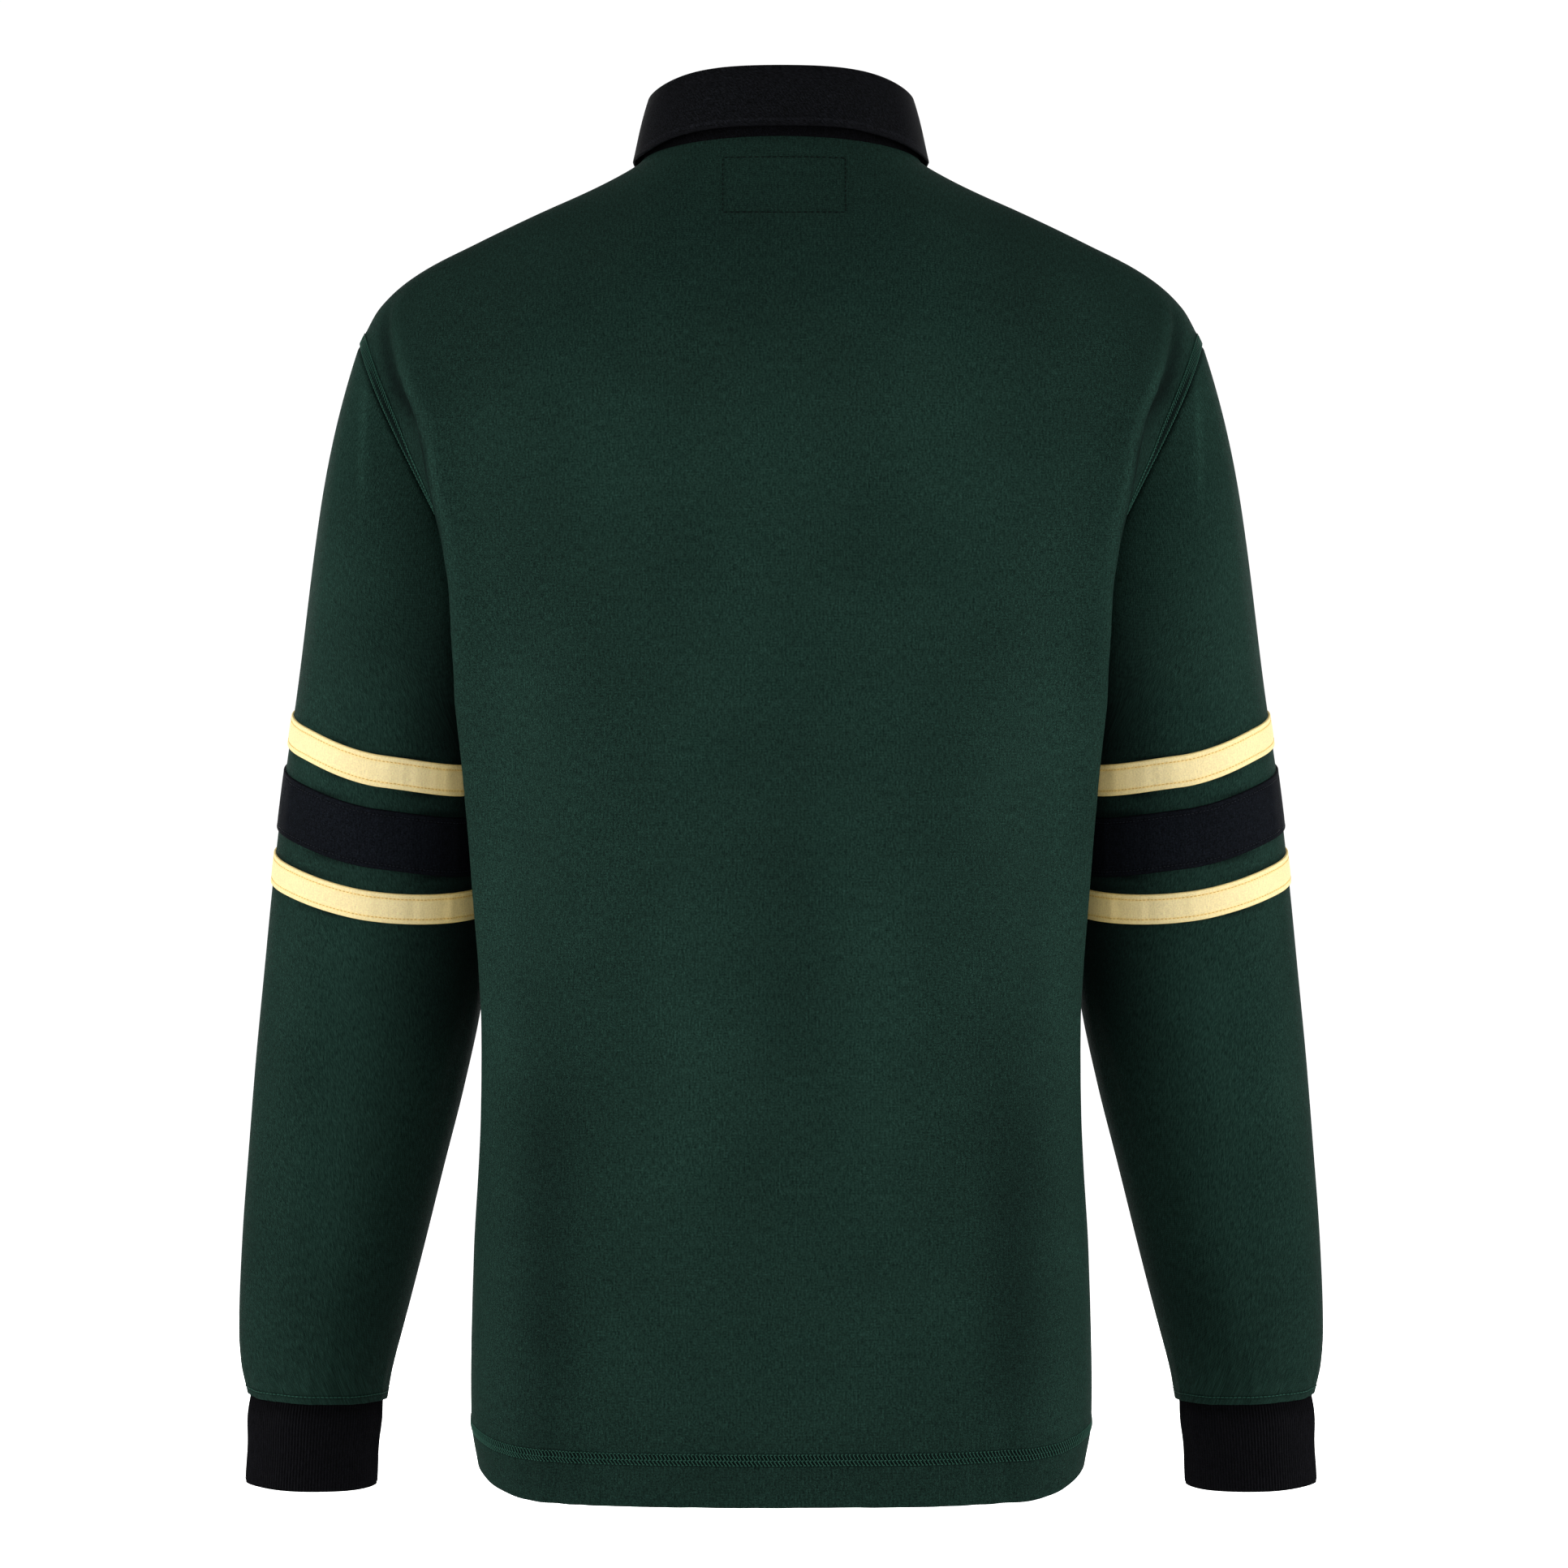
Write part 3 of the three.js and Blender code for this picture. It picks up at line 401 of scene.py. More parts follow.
def wall_faces(index, far, kept, closed):
    """Quads of a wall: outer grid, inner grid at an offset of far, and a rim on every open edge."""
    a, b, c, d = index[:-1, :-1], index[:-1, 1:], index[1:, 1:], index[1:, :-1]
    around = np.pad(kept, 1)
    if closed:
        around[1:-1, 0], around[1:-1, -1] = kept[:, -1], kept[:, 0]
    faces = [(a, b, c, d, kept), (a + far, d + far, c + far, b + far, kept)]
    faces.append((b, a, a + far, b + far, kept & ~around[:-2, 1:-1]))
    faces.append((c, b, b + far, c + far, kept & ~around[1:-1, 2:]))
    faces.append((d, c, c + far, d + far, kept & ~around[2:, 1:-1]))
    faces.append((a, d, d + far, a + far, kept & ~around[1:-1, :-2]))
    return np.concatenate([np.stack(face[:4], -1)[face[4]] for face in faces])


def quad_mesh(name, points, faces, uv=None, sharp=None, shade=None):
    """Mesh object from points in millimetres and quads. uv holds a pair for each corner, in metres.

    shade is painted into the colour, a value for each point: 1 for painted shade in the depth of a seam, 0 on open
    cloth, under 0 for a painted highlight on a crest."""
    a, b, c, d = (points[faces[:, k]] for k in range(4))
    volume = (a * np.cross(b, c)).sum() + (a * np.cross(c, d)).sum()
    if volume < 0:
        faces = faces[:, ::-1]
        uv = None if uv is None else uv[:, ::-1]
    used, faces = np.unique(faces, return_inverse=True)
    faces = faces.reshape(-1, 4)
    mesh = bpy.data.meshes.new(name)
    mesh.vertices.add(len(used))
    mesh.vertices.foreach_set("co", (points[used] * MM).astype(np.float32).ravel())
    mesh.loops.add(faces.size)
    mesh.loops.foreach_set("vertex_index", faces.astype(np.int32).ravel())
    mesh.polygons.add(len(faces))
    mesh.polygons.foreach_set("loop_start", np.arange(0, faces.size, 4, dtype=np.int32))
    mesh.polygons.foreach_set("use_smooth", np.ones(len(faces), bool))
    mesh.update(calc_edges=True)
    if uv is not None:
        layer = mesh.uv_layers.new(name="cloth")
        layer.data.foreach_set("uv", uv.astype(np.float32).ravel())
    if sharp is not None:
        mesh.set_sharp_from_angle(angle=math.radians(sharp))
    if shade is not None:
        # The shade attribute: painted shade in its first channel, painted highlight in its second
        values = np.ones((len(used), 4))
        values[:, 0] = np.clip(shade[used], 0, 1)
        values[:, 1] = np.clip(-shade[used], 0, 1)
        layer = mesh.color_attributes.new("shade", "FLOAT_COLOR", "POINT")
        layer.data.foreach_set("color", values.astype(np.float32).ravel())
    ob = bpy.data.objects.new(name, mesh)
    bpy.context.scene.collection.objects.link(ob)
    return ob


def wall(name, outer, inner, uv, closed=False, kept=None, sharp=50, shade=None):
    """Closed wall between two grids of points. uv has a column more than a closed grid."""
    rows, columns = outer.shape[:2]
    shade = np.zeros((rows, columns)) if shade is None else np.broadcast_to(shade, (rows, columns))
    both = np.concatenate([shade.ravel(), shade.ravel() * 0.5])
    index = np.arange(rows * columns).reshape(rows, columns)
    if closed:
        index = np.concatenate([index, index[:, :1]], 1)
    if kept is None:
        kept = np.ones((rows - 1, index.shape[1] - 1), bool)
    faces = wall_faces(index, rows * columns, kept, closed)
    uv_index = np.arange(uv.shape[0] * uv.shape[1]).reshape(uv.shape[:2])
    corners = wall_faces(uv_index, 0, kept, closed)
    points = np.concatenate([outer.reshape(-1, 3), inner.reshape(-1, 3)])
    return quad_mesh(name, points, faces, uv.reshape(-1, 2)[corners] * MM, sharp, both)


def mirror(ob, name):
    """The same piece on the other side of the body."""
    mesh = ob.data.copy()
    mesh.name = name
    points = np.zeros(len(mesh.vertices) * 3, np.float32)
    mesh.vertices.foreach_get("co", points)
    points = points.reshape(-1, 3)
    points[:, 0] *= -1
    mesh.vertices.foreach_set("co", points.ravel())
    mesh.flip_normals()
    copy = bpy.data.objects.new(name, mesh)
    bpy.context.scene.collection.objects.link(copy)
    return copy


def edge_round(distance, thickness):
    """How far a face draws in near an edge that is rounded over its thickness."""
    radius = thickness * 0.46
    inside = np.clip(radius - distance, 0, radius)
    return radius - np.sqrt(np.maximum(radius * radius - inside * inside, 0))


# Sewing

def stitch_line(points, normals, pitch, fill=0.86, radius=THREAD_RADIUS, lift=0.1):
    """Small rounded stitches, end to end along a line that lies on the cloth."""
    way = np.concatenate([[0], np.cumsum(np.linalg.norm(np.diff(points, axis=0), axis=1))])
    count = int(way[-1] / pitch)
    centres = (np.arange(count) + 0.5) * way[-1] / count
    half = pitch * fill / 2

    def at(where, values):
        return np.stack([np.interp(where, way, values[:, k]) for k in range(3)], -1)

    start, end = at(centres - half, points), at(centres + half, points)
    up = unit(at(centres, normals))
    return thread_segments(start + up * lift, end + up * lift, up, radius)


def thread_segments(start, end, up, radius):
    """Capsules of thread with four sides between pairs of points."""
    along = unit(end - start)
    side = unit(np.cross(along, up))
    up = np.cross(side, along)
    rings = []
    for t, swell in ((0.0, 0.35), (0.2, 1.0), (0.8, 1.0), (1.0, 0.35)):
        middle = lerp(start, end, t)
        for turn in range(4):
            angle = PI / 4 + turn * PI / 2
            offset = side * math.cos(angle) + up * math.sin(angle)
            rings.append(middle + offset * radius * swell)
    points = np.stack(rings, 1)
    quads = [(0, 1, 2, 3), (15, 14, 13, 12)]
    for ring in range(3):
        for turn in range(4):
            low, high = ring * 4, ring * 4 + 4
            quads.append((low + turn, high + turn, high + (turn + 1) % 4, low + (turn + 1) % 4))
    faces = np.array(quads)[None] + (np.arange(len(points)) * 16)[:, None, None]
    return points.reshape(-1, 3), faces.reshape(-1, 4)


def joined_threads(name, lines):
    points, faces, offset = [], [], 0
    for line_points, line_faces in lines:
        points.append(line_points)
        faces.append(line_faces + offset)
        offset += len(line_points)
    return quad_mesh(name, np.concatenate(points), np.concatenate(faces))


def mirrored_line(line):
    points, faces = line
    return points * (-1, 1, 1), faces[:, ::-1]


# Soft form of each cloth surface, in millimetres out of the smooth surface

def waves(distance, *parts):
    """Uneven ripples: each part is a wavelength, a height and a start."""
    return sum(height * np.sin(2 * PI * distance / length + start) for length, height, start in parts)


# Long soft troughs and ridges on the body: place across, heights of both ends, width and height
BACK_CREASES = table(
    "x low high width height lean",
    (-118, -640, -330, 26, -1.3, 8),
    (112, -655, -345, 24, -1.2, -6),
    (-62, -700, -470, 22, -0.7, 10),
    (58, -690, -440, 24, -0.8, -12),
    (8, -680, -380, 46, 0.8, 0),
    (-142, -560, -380, 9, 0.8, 6),
    (144, -570, -370, 9, 0.8, -5),
    (-88, -300, -150, 30, -0.7, 18),
    (86, -310, -160, 30, -0.7, -16),
    (4, -96, -52, 34, -0.5, 0),
)
FRONT_CREASES = table(
    "x low high width height lean",
    (-110, -650, -340, 24, -1.2, 8),
    (116, -640, -330, 26, -1.3, -7),
    (-48, -690, -430, 24, -0.8, 10),
    (56, -700, -460, 22, -0.8, -9),
    (-84, -290, -160, 28, -0.8, 16),
    (82, -300, -150, 28, -0.8, -18),
)
HEM_PUCKERS = table(
    "x width height",
    (-120, 6, -1.3),
    (-104, 4.5, -1.2),
    (107, 4.5, -1.2),
    (121, 5, -1.5),
    (135, 4.5, -1.0),
    (-64, 8, -0.5),
    (-12, 9, -0.4),
    (48, 8, -0.5),
)


def crease_relief(creases, points):
    x, z = points[..., 0], points[..., 2]
    total = np.zeros_like(x)
    for k in range(len(creases["x"])):
        low, high = creases["low"][k], creases["high"][k]
        middle, half = (low + high) / 2, (high - low) / 2
        along = (z - middle) / half
        line = creases["x"][k] + creases["lean"][k] * along
        total += creases["height"][k] * hill(x, line, creases["width"][k]) * np.exp(-(along**4))
    return total


def body_soft(side, points, u, level):
    """Creases and the hem's slight puckers, which move both faces of the cloth."""
    relief = crease_relief(BACK_CREASES if side == BACK else FRONT_CREASES, points)
    around = points[..., 0]
    drape = waves(around, (97, 0.35, 0.4), (61, 0.22, 2.0), (43, 0.12, 4.1)) * smooth(0.75, 0.1, level)
    near_hem = smooth(-640, -700, points[..., 2])
    puckers = sum(
        HEM_PUCKERS["height"][k] * hill(around, HEM_PUCKERS["x"][k], HEM_PUCKERS["width"][k])
        for k in range(len(HEM_PUCKERS["x"]))
    )
    ripple = waves(around, (17, 0.1, 0.6), (11.3, 0.08, 2.9), (26, 0.12, 1.1))
    return (relief + drape + near_hem * (puckers + ripple)) * smooth(1.0, 0.93, np.abs(u))


# Drape beside the armhole: how far the cloth lies out of the smooth panel, at a distance from the seam
ARMHOLE_DRAPE = table(
    "level away height",
    (0.6, 50, 0),
    (0.75, 60, 1.2),
    (0.875, 65, 2.0),
    (1.0, 64, 1.2),
    (1.1, 55, 3.0),
    (1.2, 46, 4.8),
    (1.25, 42, 4.8),
    (1.3, 39, 3.6),
    (1.4, 32.5, -1.2),
    (1.5, 29, -7.2),
    (1.55, 27, -8.6),
    (1.6, 25, -7.2),
    (1.65, 18, -4.6),
    (1.7, 15, -3.6),
    (1.8, 14, -2.2),
    (1.95, 12, 0),
)
# Crest of the fold that comes down beside the armhole and covers the seam lower down
ARMHOLE_CREST = table(
    "level away share",
    (1.3, 41, 0),
    (1.4, 37, 0.5),
    (1.5, 41, 1),
    (1.55, 42, 1),
    (1.6, 37.5, 1),
    (1.65, 31.5, 1),
    (1.7, 27.5, 1),
    (1.8, 31, 0.7),
    (1.9, 37, 0),
)
CREST = {"height": 2.4, "sharp": 2.6, "soft": 14}
DRAPE_SPREAD = 12.5
DRAPE_SHARE = {BACK: 1.0, FRONT: 0.5}
GRID_LEVELS, GRID_SHARES = np.linspace(0, 2, 201), np.linspace(0.55, 1, 181)


def edge_distances(side):
    """Distance along the cloth to the panel's side edge, over a grid of levels and of u."""
    shares, levels = np.broadcast_arrays(GRID_SHARES[None, :], GRID_LEVELS[:, None])
    steps = np.linalg.norm(np.diff(panel_point(side, shares, levels), axis=1), axis=-1)
    way = np.cumsum(steps[:, ::-1], axis=1)[:, ::-1]
    return np.concatenate([way, np.zeros((len(way), 1))], 1)


EDGE_DISTANCES = {side: edge_distances(side) for side in (BACK, FRONT)}


def edge_distance(side, u, level):
    """Distance along the cloth to the side edge for any places, read from the grid."""
    grid = EDGE_DISTANCES[side]
    row = np.clip(level / GRID_LEVELS[-1], 0, 1) * (len(GRID_LEVELS) - 1)
    column = np.clip((np.abs(u) - GRID_SHARES[0]) / (1 - GRID_SHARES[0]), 0, 1) * (len(GRID_SHARES) - 1)
    r = np.minimum(row.astype(int), len(GRID_LEVELS) - 2)
    c = np.minimum(column.astype(int), len(GRID_SHARES) - 2)
    across_low = lerp(grid[r, c], grid[r, c + 1], column - c)
    across_high = lerp(grid[r + 1, c], grid[r + 1, c + 1], column - c)
    return lerp(across_low, across_high, row - r)


def armhole_drape(side, u, level):
    """Height of the cloth beside the armhole, and the shares of the fold's valley and of its lit crest."""
    away = edge_distance(side, u, level)
    held = np.clip(level, ARMHOLE_DRAPE["level"][0], ARMHOLE_DRAPE["level"][-1])
    middle = np.interp(held, ARMHOLE_DRAPE["level"], ARMHOLE_DRAPE["away"])
    height = np.interp(held, ARMHOLE_DRAPE["level"], ARMHOLE_DRAPE["height"])
    drape = height * hill(away, middle, DRAPE_SPREAD) * smooth(0, 8, away)
    held = np.clip(level, ARMHOLE_CREST["level"][0], ARMHOLE_CREST["level"][-1])
    beyond = away - np.interp(held, ARMHOLE_CREST["level"], ARMHOLE_CREST["away"])
    share = np.interp(held, ARMHOLE_CREST["level"], ARMHOLE_CREST["share"])
    crest = np.where(beyond < 0, hill(beyond, 0, CREST["sharp"]), hill(beyond, 0, CREST["soft"]))
    height = DRAPE_SHARE[side] * (drape + CREST["height"] * share * crest)
    return height, share * hill(beyond, -10, 8.5), share * hill(beyond, 2.5, 3.5)


def side_speed(side, level):
    """Millimetres of cloth for one unit of u, close to the panel's side edge."""
    return np.linalg.norm(panel_point(side, 0.995, level) - panel_point(side, 0.975, level), axis=-1) / 0.02


def body_fine(side, u, level, stretch):
    """Furrows of the seams and stitching, on the outer face alone."""
    from_edge = (1 - np.abs(u)) * stretch
    z_line = lerp(BODY["z"][0], UNDERARM[2], level)
    fine = -0.75 * hill(from_edge, 0, 1.1)
    at_armhole = smooth(0.995, 1.01, level)
    rows = sum(hill(from_edge, row, 0.8) for row in ARMHOLE_ROWS)
    band = smooth(ARMHOLE_ROWS[1] + 1.6, ARMHOLE_ROWS[1], from_edge) * smooth(0, 1.6, from_edge)
    fine += at_armhole * (0.45 * band - 0.3 * rows)
    hem_rows = sum(hill(z_line, row, 0.75) for row in (HEM_ROWS_Z[0], HEM_ROWS_Z[-1]))
    under = smooth(HEM_BAND_TOP_Z + 1.5, HEM_BAND_TOP_Z - 0.5, z_line)
    fine += 0.35 * under - 0.32 * hem_rows
    fine -= edge_round(z_line - BODY["z"][0], CLOTH)
    fine -= 0.5 * hill((2 - level) * TOP_SPEED, 0, 1.1) * smooth(NECK_SHARE, NECK_SHARE + 0.03, np.abs(u))
    return fine


# Broad painted shade on the cloth where less light falls, and painted highlights where the strength is under 0:
# middle, half width and half height of each patch, and its strength
BODY_PAINTED_SHADES = table(
    "across z width height strength",
    (0, -480, 19, 170, 0.09),
    (126, -595, 20, 110, 0.52),
    (0, -20, 600, 88, 0.27),
    (0, -718, 600, 30, 0.24),
    (72, -400, 30, 210, -0.03),
    (50, -430, 20, 125, -0.07),
    (92, -150, 34, 60, -0.06),
    (152, -390, 11, 150, -0.10),
    (196, -165, 16, 60, 0.12),
)
# Painted shade on the sleeve beside the body and towards the cuff, and painted highlights where the strength is under
# 0; across is the angle round the sleeve
SLEEVE_PAINTED_SHADES = table(
    "across z width height strength",
    (2.35, -265, 0.5, 120, 0.95),
    (2.45, -440, 0.5, 62, 0.85),
    (2.4, -590, 0.5, 100, 0.25),
    (1.2, -640, 1.3, 45, 0.15),
    (0.3, -560, 0.5, 130, 0.10),
    (0.75, -400, 0.3, 230, -0.05),
)


def painted_shades(patches, across, z):
    total = np.zeros_like(z)
    for k in range(len(patches["z"])):
        beside = np.exp(-(((across - patches["across"][k]) / patches["width"][k]) ** 2))
        above = np.exp(-(np.abs((z - patches["z"][k]) / patches["height"][k]) ** 3))
        total += patches["strength"][k] * beside * above
    return total


def body_shade(side, u, level):
    """Painted shade for each place: in seams, between the hem's rows, at the neck seam and in the fold's valley, a
    painted highlight on the fold's crest, and broad painted shades and highlights.
    """
    u, level = np.broadcast_arrays(u, level)
    from_edge = (1 - np.abs(u)) * side_speed(side, level)
    z_line = lerp(BODY["z"][0], UNDERARM[2], level)
    at_armhole = smooth(0.995, 1.01, level)
    band = smooth(ARMHOLE_ROWS[1] + 1.2, ARMHOLE_ROWS[1], from_edge) * smooth(0.8, 1.7, from_edge)
    # Painted shade in the seam and in the band between the armhole's rows of stitches
    shade = lerp(0.45, 0.95, at_armhole) * hill(from_edge, 0, 1.3) + at_armhole * 0.8 * band
    # Painted shade between the hem's rows of stitches
    under_first = smooth(HEM_ROWS_Z[0] + 0.9, HEM_ROWS_Z[0] - 0.1, z_line)
    over_last = smooth(HEM_ROWS_Z[2] - 1, HEM_ROWS_Z[2], z_line)
    shade = shade + 0.65 * under_first * over_last
    # Painted shade along the neck seam
    shade += 0.7 * hill((2 - level) * TOP_SPEED, 0, 1.2) * smooth(NECK_SHARE, NECK_SHARE + 0.03, np.abs(u))
    # Painted shade in the fold's valley and a painted highlight on its crest
    _, valley, crest = armhole_drape(side, u, level)
    shade += DRAPE_SHARE[side] * (0.85 * valley - 0.45 * crest)
    # Broad painted shades and painted highlights over the body
    point = panel_point(side, u, level)
    return shade + painted_shades(BODY_PAINTED_SHADES, np.abs(point[..., 0]), point[..., 2])


# Places of the grid lines

def even_shares(side, level, spacing, edge_steps):
    """Values of u for the half panel, evenly spaced on the cloth, with closer ones beside the edge."""
    dense = np.linspace(0, 1, 2001)
    line = panel_point(side, dense, np.full_like(dense, level))
    way = np.concatenate([[0], np.cumsum(np.linalg.norm(np.diff(line, axis=0), axis=1))])
    stop = way[-1] - edge_steps[-1]
    at = np.concatenate([np.linspace(0, stop, int(stop / spacing) + 1), way[-1] - np.array(edge_steps[-2::-1])])
    shares = np.interp(at, way, dense)
    return np.concatenate([-shares[:0:-1], shares])


SIDE_EDGE_STEPS = (0, 0.7, 1.5, 2.4, 3.4, 4.6, 5.8, 7.0, *np.arange(8.4, 31, 1.4), 32, 34.4)
HEM_STEPS = (0, 0.08, 0.25, 0.5, 0.9, 1.6, 3, 5)


def panel_levels(spacing):
    height = UNDERARM[2] - BODY["z"][0]
    fine = np.arange(HEM_STEPS[-1] + 1.2, 36, 1.2)
    body = np.linspace(36 + spacing, height, int((height - 36) / spacing))
    above = np.linspace(1, 2, int(330 / spacing) + 1)[1:]
    return np.concatenate([np.array(HEM_STEPS) / height, fine / height, body / height, above])


def panel_uv(points, levels):
    """Cloth coordinates of a panel: across and along it, in millimetres."""
    middle = points.shape[1] // 2
    across = travelled(points, 1)
    across -= across[:, middle : middle + 1]
    extra = across - points[..., 0]
    last = np.searchsorted(levels, 1 + YOKE["share"]) - 1
    extra[last:] = extra[last]
    return np.stack([points[..., 0] + extra, travelled(points, 0)], -1)


def panel_surface(side, u, level):
    """Outer and inner point and the normal of the finished panel, for any places on it."""
    u, level = np.broadcast_arrays(np.asarray(u, float), np.asarray(level, float))
    base = panel_point(side, u, level)
    normal = panel_normal(side, u, level)
    seam = armhole_outward(side * PI * (2 - np.maximum(level, 1)))
    seam[..., 0] *= np.where(u < 0, -1, 1)
    weight = smooth(0.93, 1, np.abs(u)) * smooth(0.99, 1.0, level)
    normal = unit(lerp(normal, seam, weight[..., None]))
    soft = body_soft(side, base, u, level) + armhole_drape(side, u, level)[0]
    fine = body_fine(side, u, level, side_speed(side, level))
    z_line = lerp(BODY["z"][0], UNDERARM[2], level)
    inner_lift = soft - CLOTH + edge_round(z_line - BODY["z"][0], CLOTH)
    return base + normal * (soft + fine)[..., None], base + normal * inner_lift[..., None], normal


def panel(name, side, spacing, kept=None, columns=None):
    levels = panel_levels(spacing)
    u = even_shares(side, 0.5, spacing, SIDE_EDGE_STEPS) if columns is None else columns
    u, level = np.broadcast_arrays(u[None, :] if u.ndim == 1 else u, levels[:, None])
    outer, inner, _ = panel_surface(side, u, level)
    ease = hill(np.abs(u), NECK_SHARE, 0.16) * smooth(1.5, 1.65, level) * smooth(2.0, 1.93, level)
    outer, inner = eased(outer, ease), eased(inner, ease)
    return wall(name, outer, inner, panel_uv(outer, levels), kept=kept, shade=body_shade(side, u, level))


def eased(points, weight, passes=60):
    """Evens out the bend across a grid where the weight is, so that no line shows in the cloth."""
    points = points.copy()
    for _ in range(passes):
        between = (points[:, :-2] + points[:, 2:]) / 2
        points[:, 1:-1] += (between - points[:, 1:-1]) * weight[:, 1:-1, None] * 0.5
    return points


BACK_SPACING, FRONT_SPACING = 3.7, 4.6


def back_panel():
    return panel("back_panel_cloth", BACK, BACK_SPACING)


def front_panel():
    """The front has a column at each side of the slot, and no cloth between them above its end."""
    levels = panel_levels(FRONT_SPACING)
    even = even_shares(FRONT, 0.5, FRONT_SPACING, SIDE_EDGE_STEPS)
    even = even[even > 0]
    slot = share_at_x(FRONT, SLOT_HALF, levels)
    outside = lerp(slot[:, None], 1, ((even - even[0]) / (1 - even[0]))[None, :])
    between = slot[:, None] * np.array([0.34, 0.67])[None, :]
    half = np.concatenate([between, outside], 1)
    columns = np.concatenate([-half[:, ::-1], np.zeros((len(levels), 1)), half], 1)
    middle = columns.shape[1] // 2
    kept = np.ones((len(levels) - 1, columns.shape[1] - 1), bool)
    kept[levels[:-1] >= SLOT_END_LEVEL, middle - 3 : middle + 3] = False
    return panel("front_panel_cloth", FRONT, FRONT_SPACING, kept, columns)


# Sleeves

SLEEVE_CREASES = table(
    "angle low high width height lean",
    (0.75, -670, -430, 0.22, 1.0, 0.1),
    (1.35, -640, -420, 0.20, -0.9, -0.12),
    (2.15, -600, -440, 0.18, 0.8, 0.2),
    (2.65, -560, -420, 0.15, -1.0, 0.12),
    (-0.8, -660, -440, 0.24, 0.9, -0.1),
    (-1.5, -630, -400, 0.22, -0.9, 0.1),
    (-2.3, -590, -410, 0.2, 0.9, -0.15),
    (0.35, -300, -180, 0.3, -0.5, 0.1),
    (1.6, -330, -200, 0.22, -0.8, 0.25),
    (-1.4, -320, -190, 0.22, -0.8, -0.25),
)


def wrapped(angle):
    """The same angle between -pi and pi."""
    return (angle + PI) % (2 * PI) - PI


def seam_speed(angle):
    """Millimetres of cloth for one unit of down, close to the armhole."""
    return np.linalg.norm(sleeve_point(angle, 0.06) - sleeve_point(angle, 0.0), axis=-1) / 0.06


def sleeve_soft(angle, down, points):
    z = points[..., 2]
    turned = wrapped(angle)
    total = np.zeros_like(z)
    for k in range(len(SLEEVE_CREASES["angle"])):
        low, high = SLEEVE_CREASES["low"][k], SLEEVE_CREASES["high"][k]
        along = (z - (low + high) / 2) / ((high - low) / 2)
        line = SLEEVE_CREASES["angle"][k] + SLEEVE_CREASES["lean"][k] * along
        shape = hill(turned, line, SLEEVE_CREASES["width"][k]) * np.exp(-(along**4))
        total += SLEEVE_CREASES["height"][k] * shape
    puckers = waves(turned * 44, (13, 0.16, 0.3), (8.7, 0.1, 2.2), (31, 0.3, 1.2))
    return total + puckers * smooth(-640, -684, z)


def sleeve_fine(angle, down, points):
    z_line = lerp(SLEEVE_TOP_Z, SLEEVE_END_Z, down - 1)
    fine = -0.75 * hill(down * seam_speed(angle), 0, 1.1)
    turned = np.abs(wrapped(angle))
    fine -= 0.5 * hill((PI - turned) * SEAM_RADIUS, 0, 1.3) * smooth(0, 0.2, down)
    fine -= 0.3 * hill(z_line, SLEEVE_END_Z + CUFF_ROW, 0.9)
    fine -= edge_round(z_line - SLEEVE_END_Z, CLOTH)
    return fine


def height_on_sleeve(angle, down):
    """Height that a place on the sleeve would have if its lines ran straight down."""
    head = head_length(angle)
    return np.where(down < 1, SLEEVE_TOP_Z + (1 - down) * head, lerp(SLEEVE_TOP_Z, SLEEVE_END_Z, down - 1))


def head_length(angle):
    end = sleeve_head(angle, np.ones_like(angle))
    return np.linalg.norm(end - sleeve_head(angle, np.full_like(angle, 0.95)), axis=-1) / 0.05


# The sleeve's pressed crease: a painted highlight, a lit line down its outer side
CREASE_HIGHLIGHT = {"x": 228.5, "width": 2.0, "top": -112, "bottom": -205, "light": 0.5}


# Painted shade for each place on the sleeve: in its seams, at the cuff's row, under the bands' edges and beside the
# body, and a painted highlight along the crease
def sleeve_shade(angle, down, points):
    angle, down = np.broadcast_arrays(angle, down)
    z_line = height_on_sleeve(angle, down)
    turned = np.abs(wrapped(angle))
    shade = 0.95 * hill(down * seam_speed(angle), 0, 1.5) + 0.5 * hill((PI - turned) * SEAM_RADIUS, 0, 1.5) * smooth(0, 0.2, down)
    shade += 0.6 * hill(z_line, SLEEVE_END_Z + CUFF_ROW, 0.9)
    # Painted shade under the bands' edges
    for name, (top, bottom) in BANDS.items():
        rise = band_rise(name, angle)
        shade += 0.8 * (hill(z_line, top + rise + 0.3, 1.3) + hill(z_line, bottom + rise - 0.3, 1.3))
    # Broad painted shades and painted highlights over the sleeve
    shade += painted_shades(SLEEVE_PAINTED_SHADES, turned, points[..., 2])
    along = smooth(CREASE_HIGHLIGHT["bottom"], CREASE_HIGHLIGHT["bottom"] + 50, points[..., 2])
    along = along * smooth(CREASE_HIGHLIGHT["top"], CREASE_HIGHLIGHT["top"] - 25, points[..., 2])
    return shade - CREASE_HIGHLIGHT["light"] * hill(points[..., 0], CREASE_HIGHLIGHT["x"], CREASE_HIGHLIGHT["width"]) * along


def sleeve_surface(angle, down):
    angle, down = np.broadcast_arrays(np.asarray(angle, float), np.asarray(down, float))
    base = sleeve_point(angle, down)
    normal = sleeve_normal(angle, down)
    turned = wrapped(angle)
    weight = smooth(0.12, 0.0, down)
    normal = unit(lerp(normal, armhole_outward(turned), weight[..., None]))
    soft = sleeve_soft(angle, down, base)
    fine = sleeve_fine(angle, down, base)
    z_line = lerp(SLEEVE_TOP_Z, SLEEVE_END_Z, down - 1)
    inner_lift = soft - CLOTH + edge_round(z_line - SLEEVE_END_Z, CLOTH)
    return base + normal * (soft + fine)[..., None], base + normal * inner_lift[..., None], normal


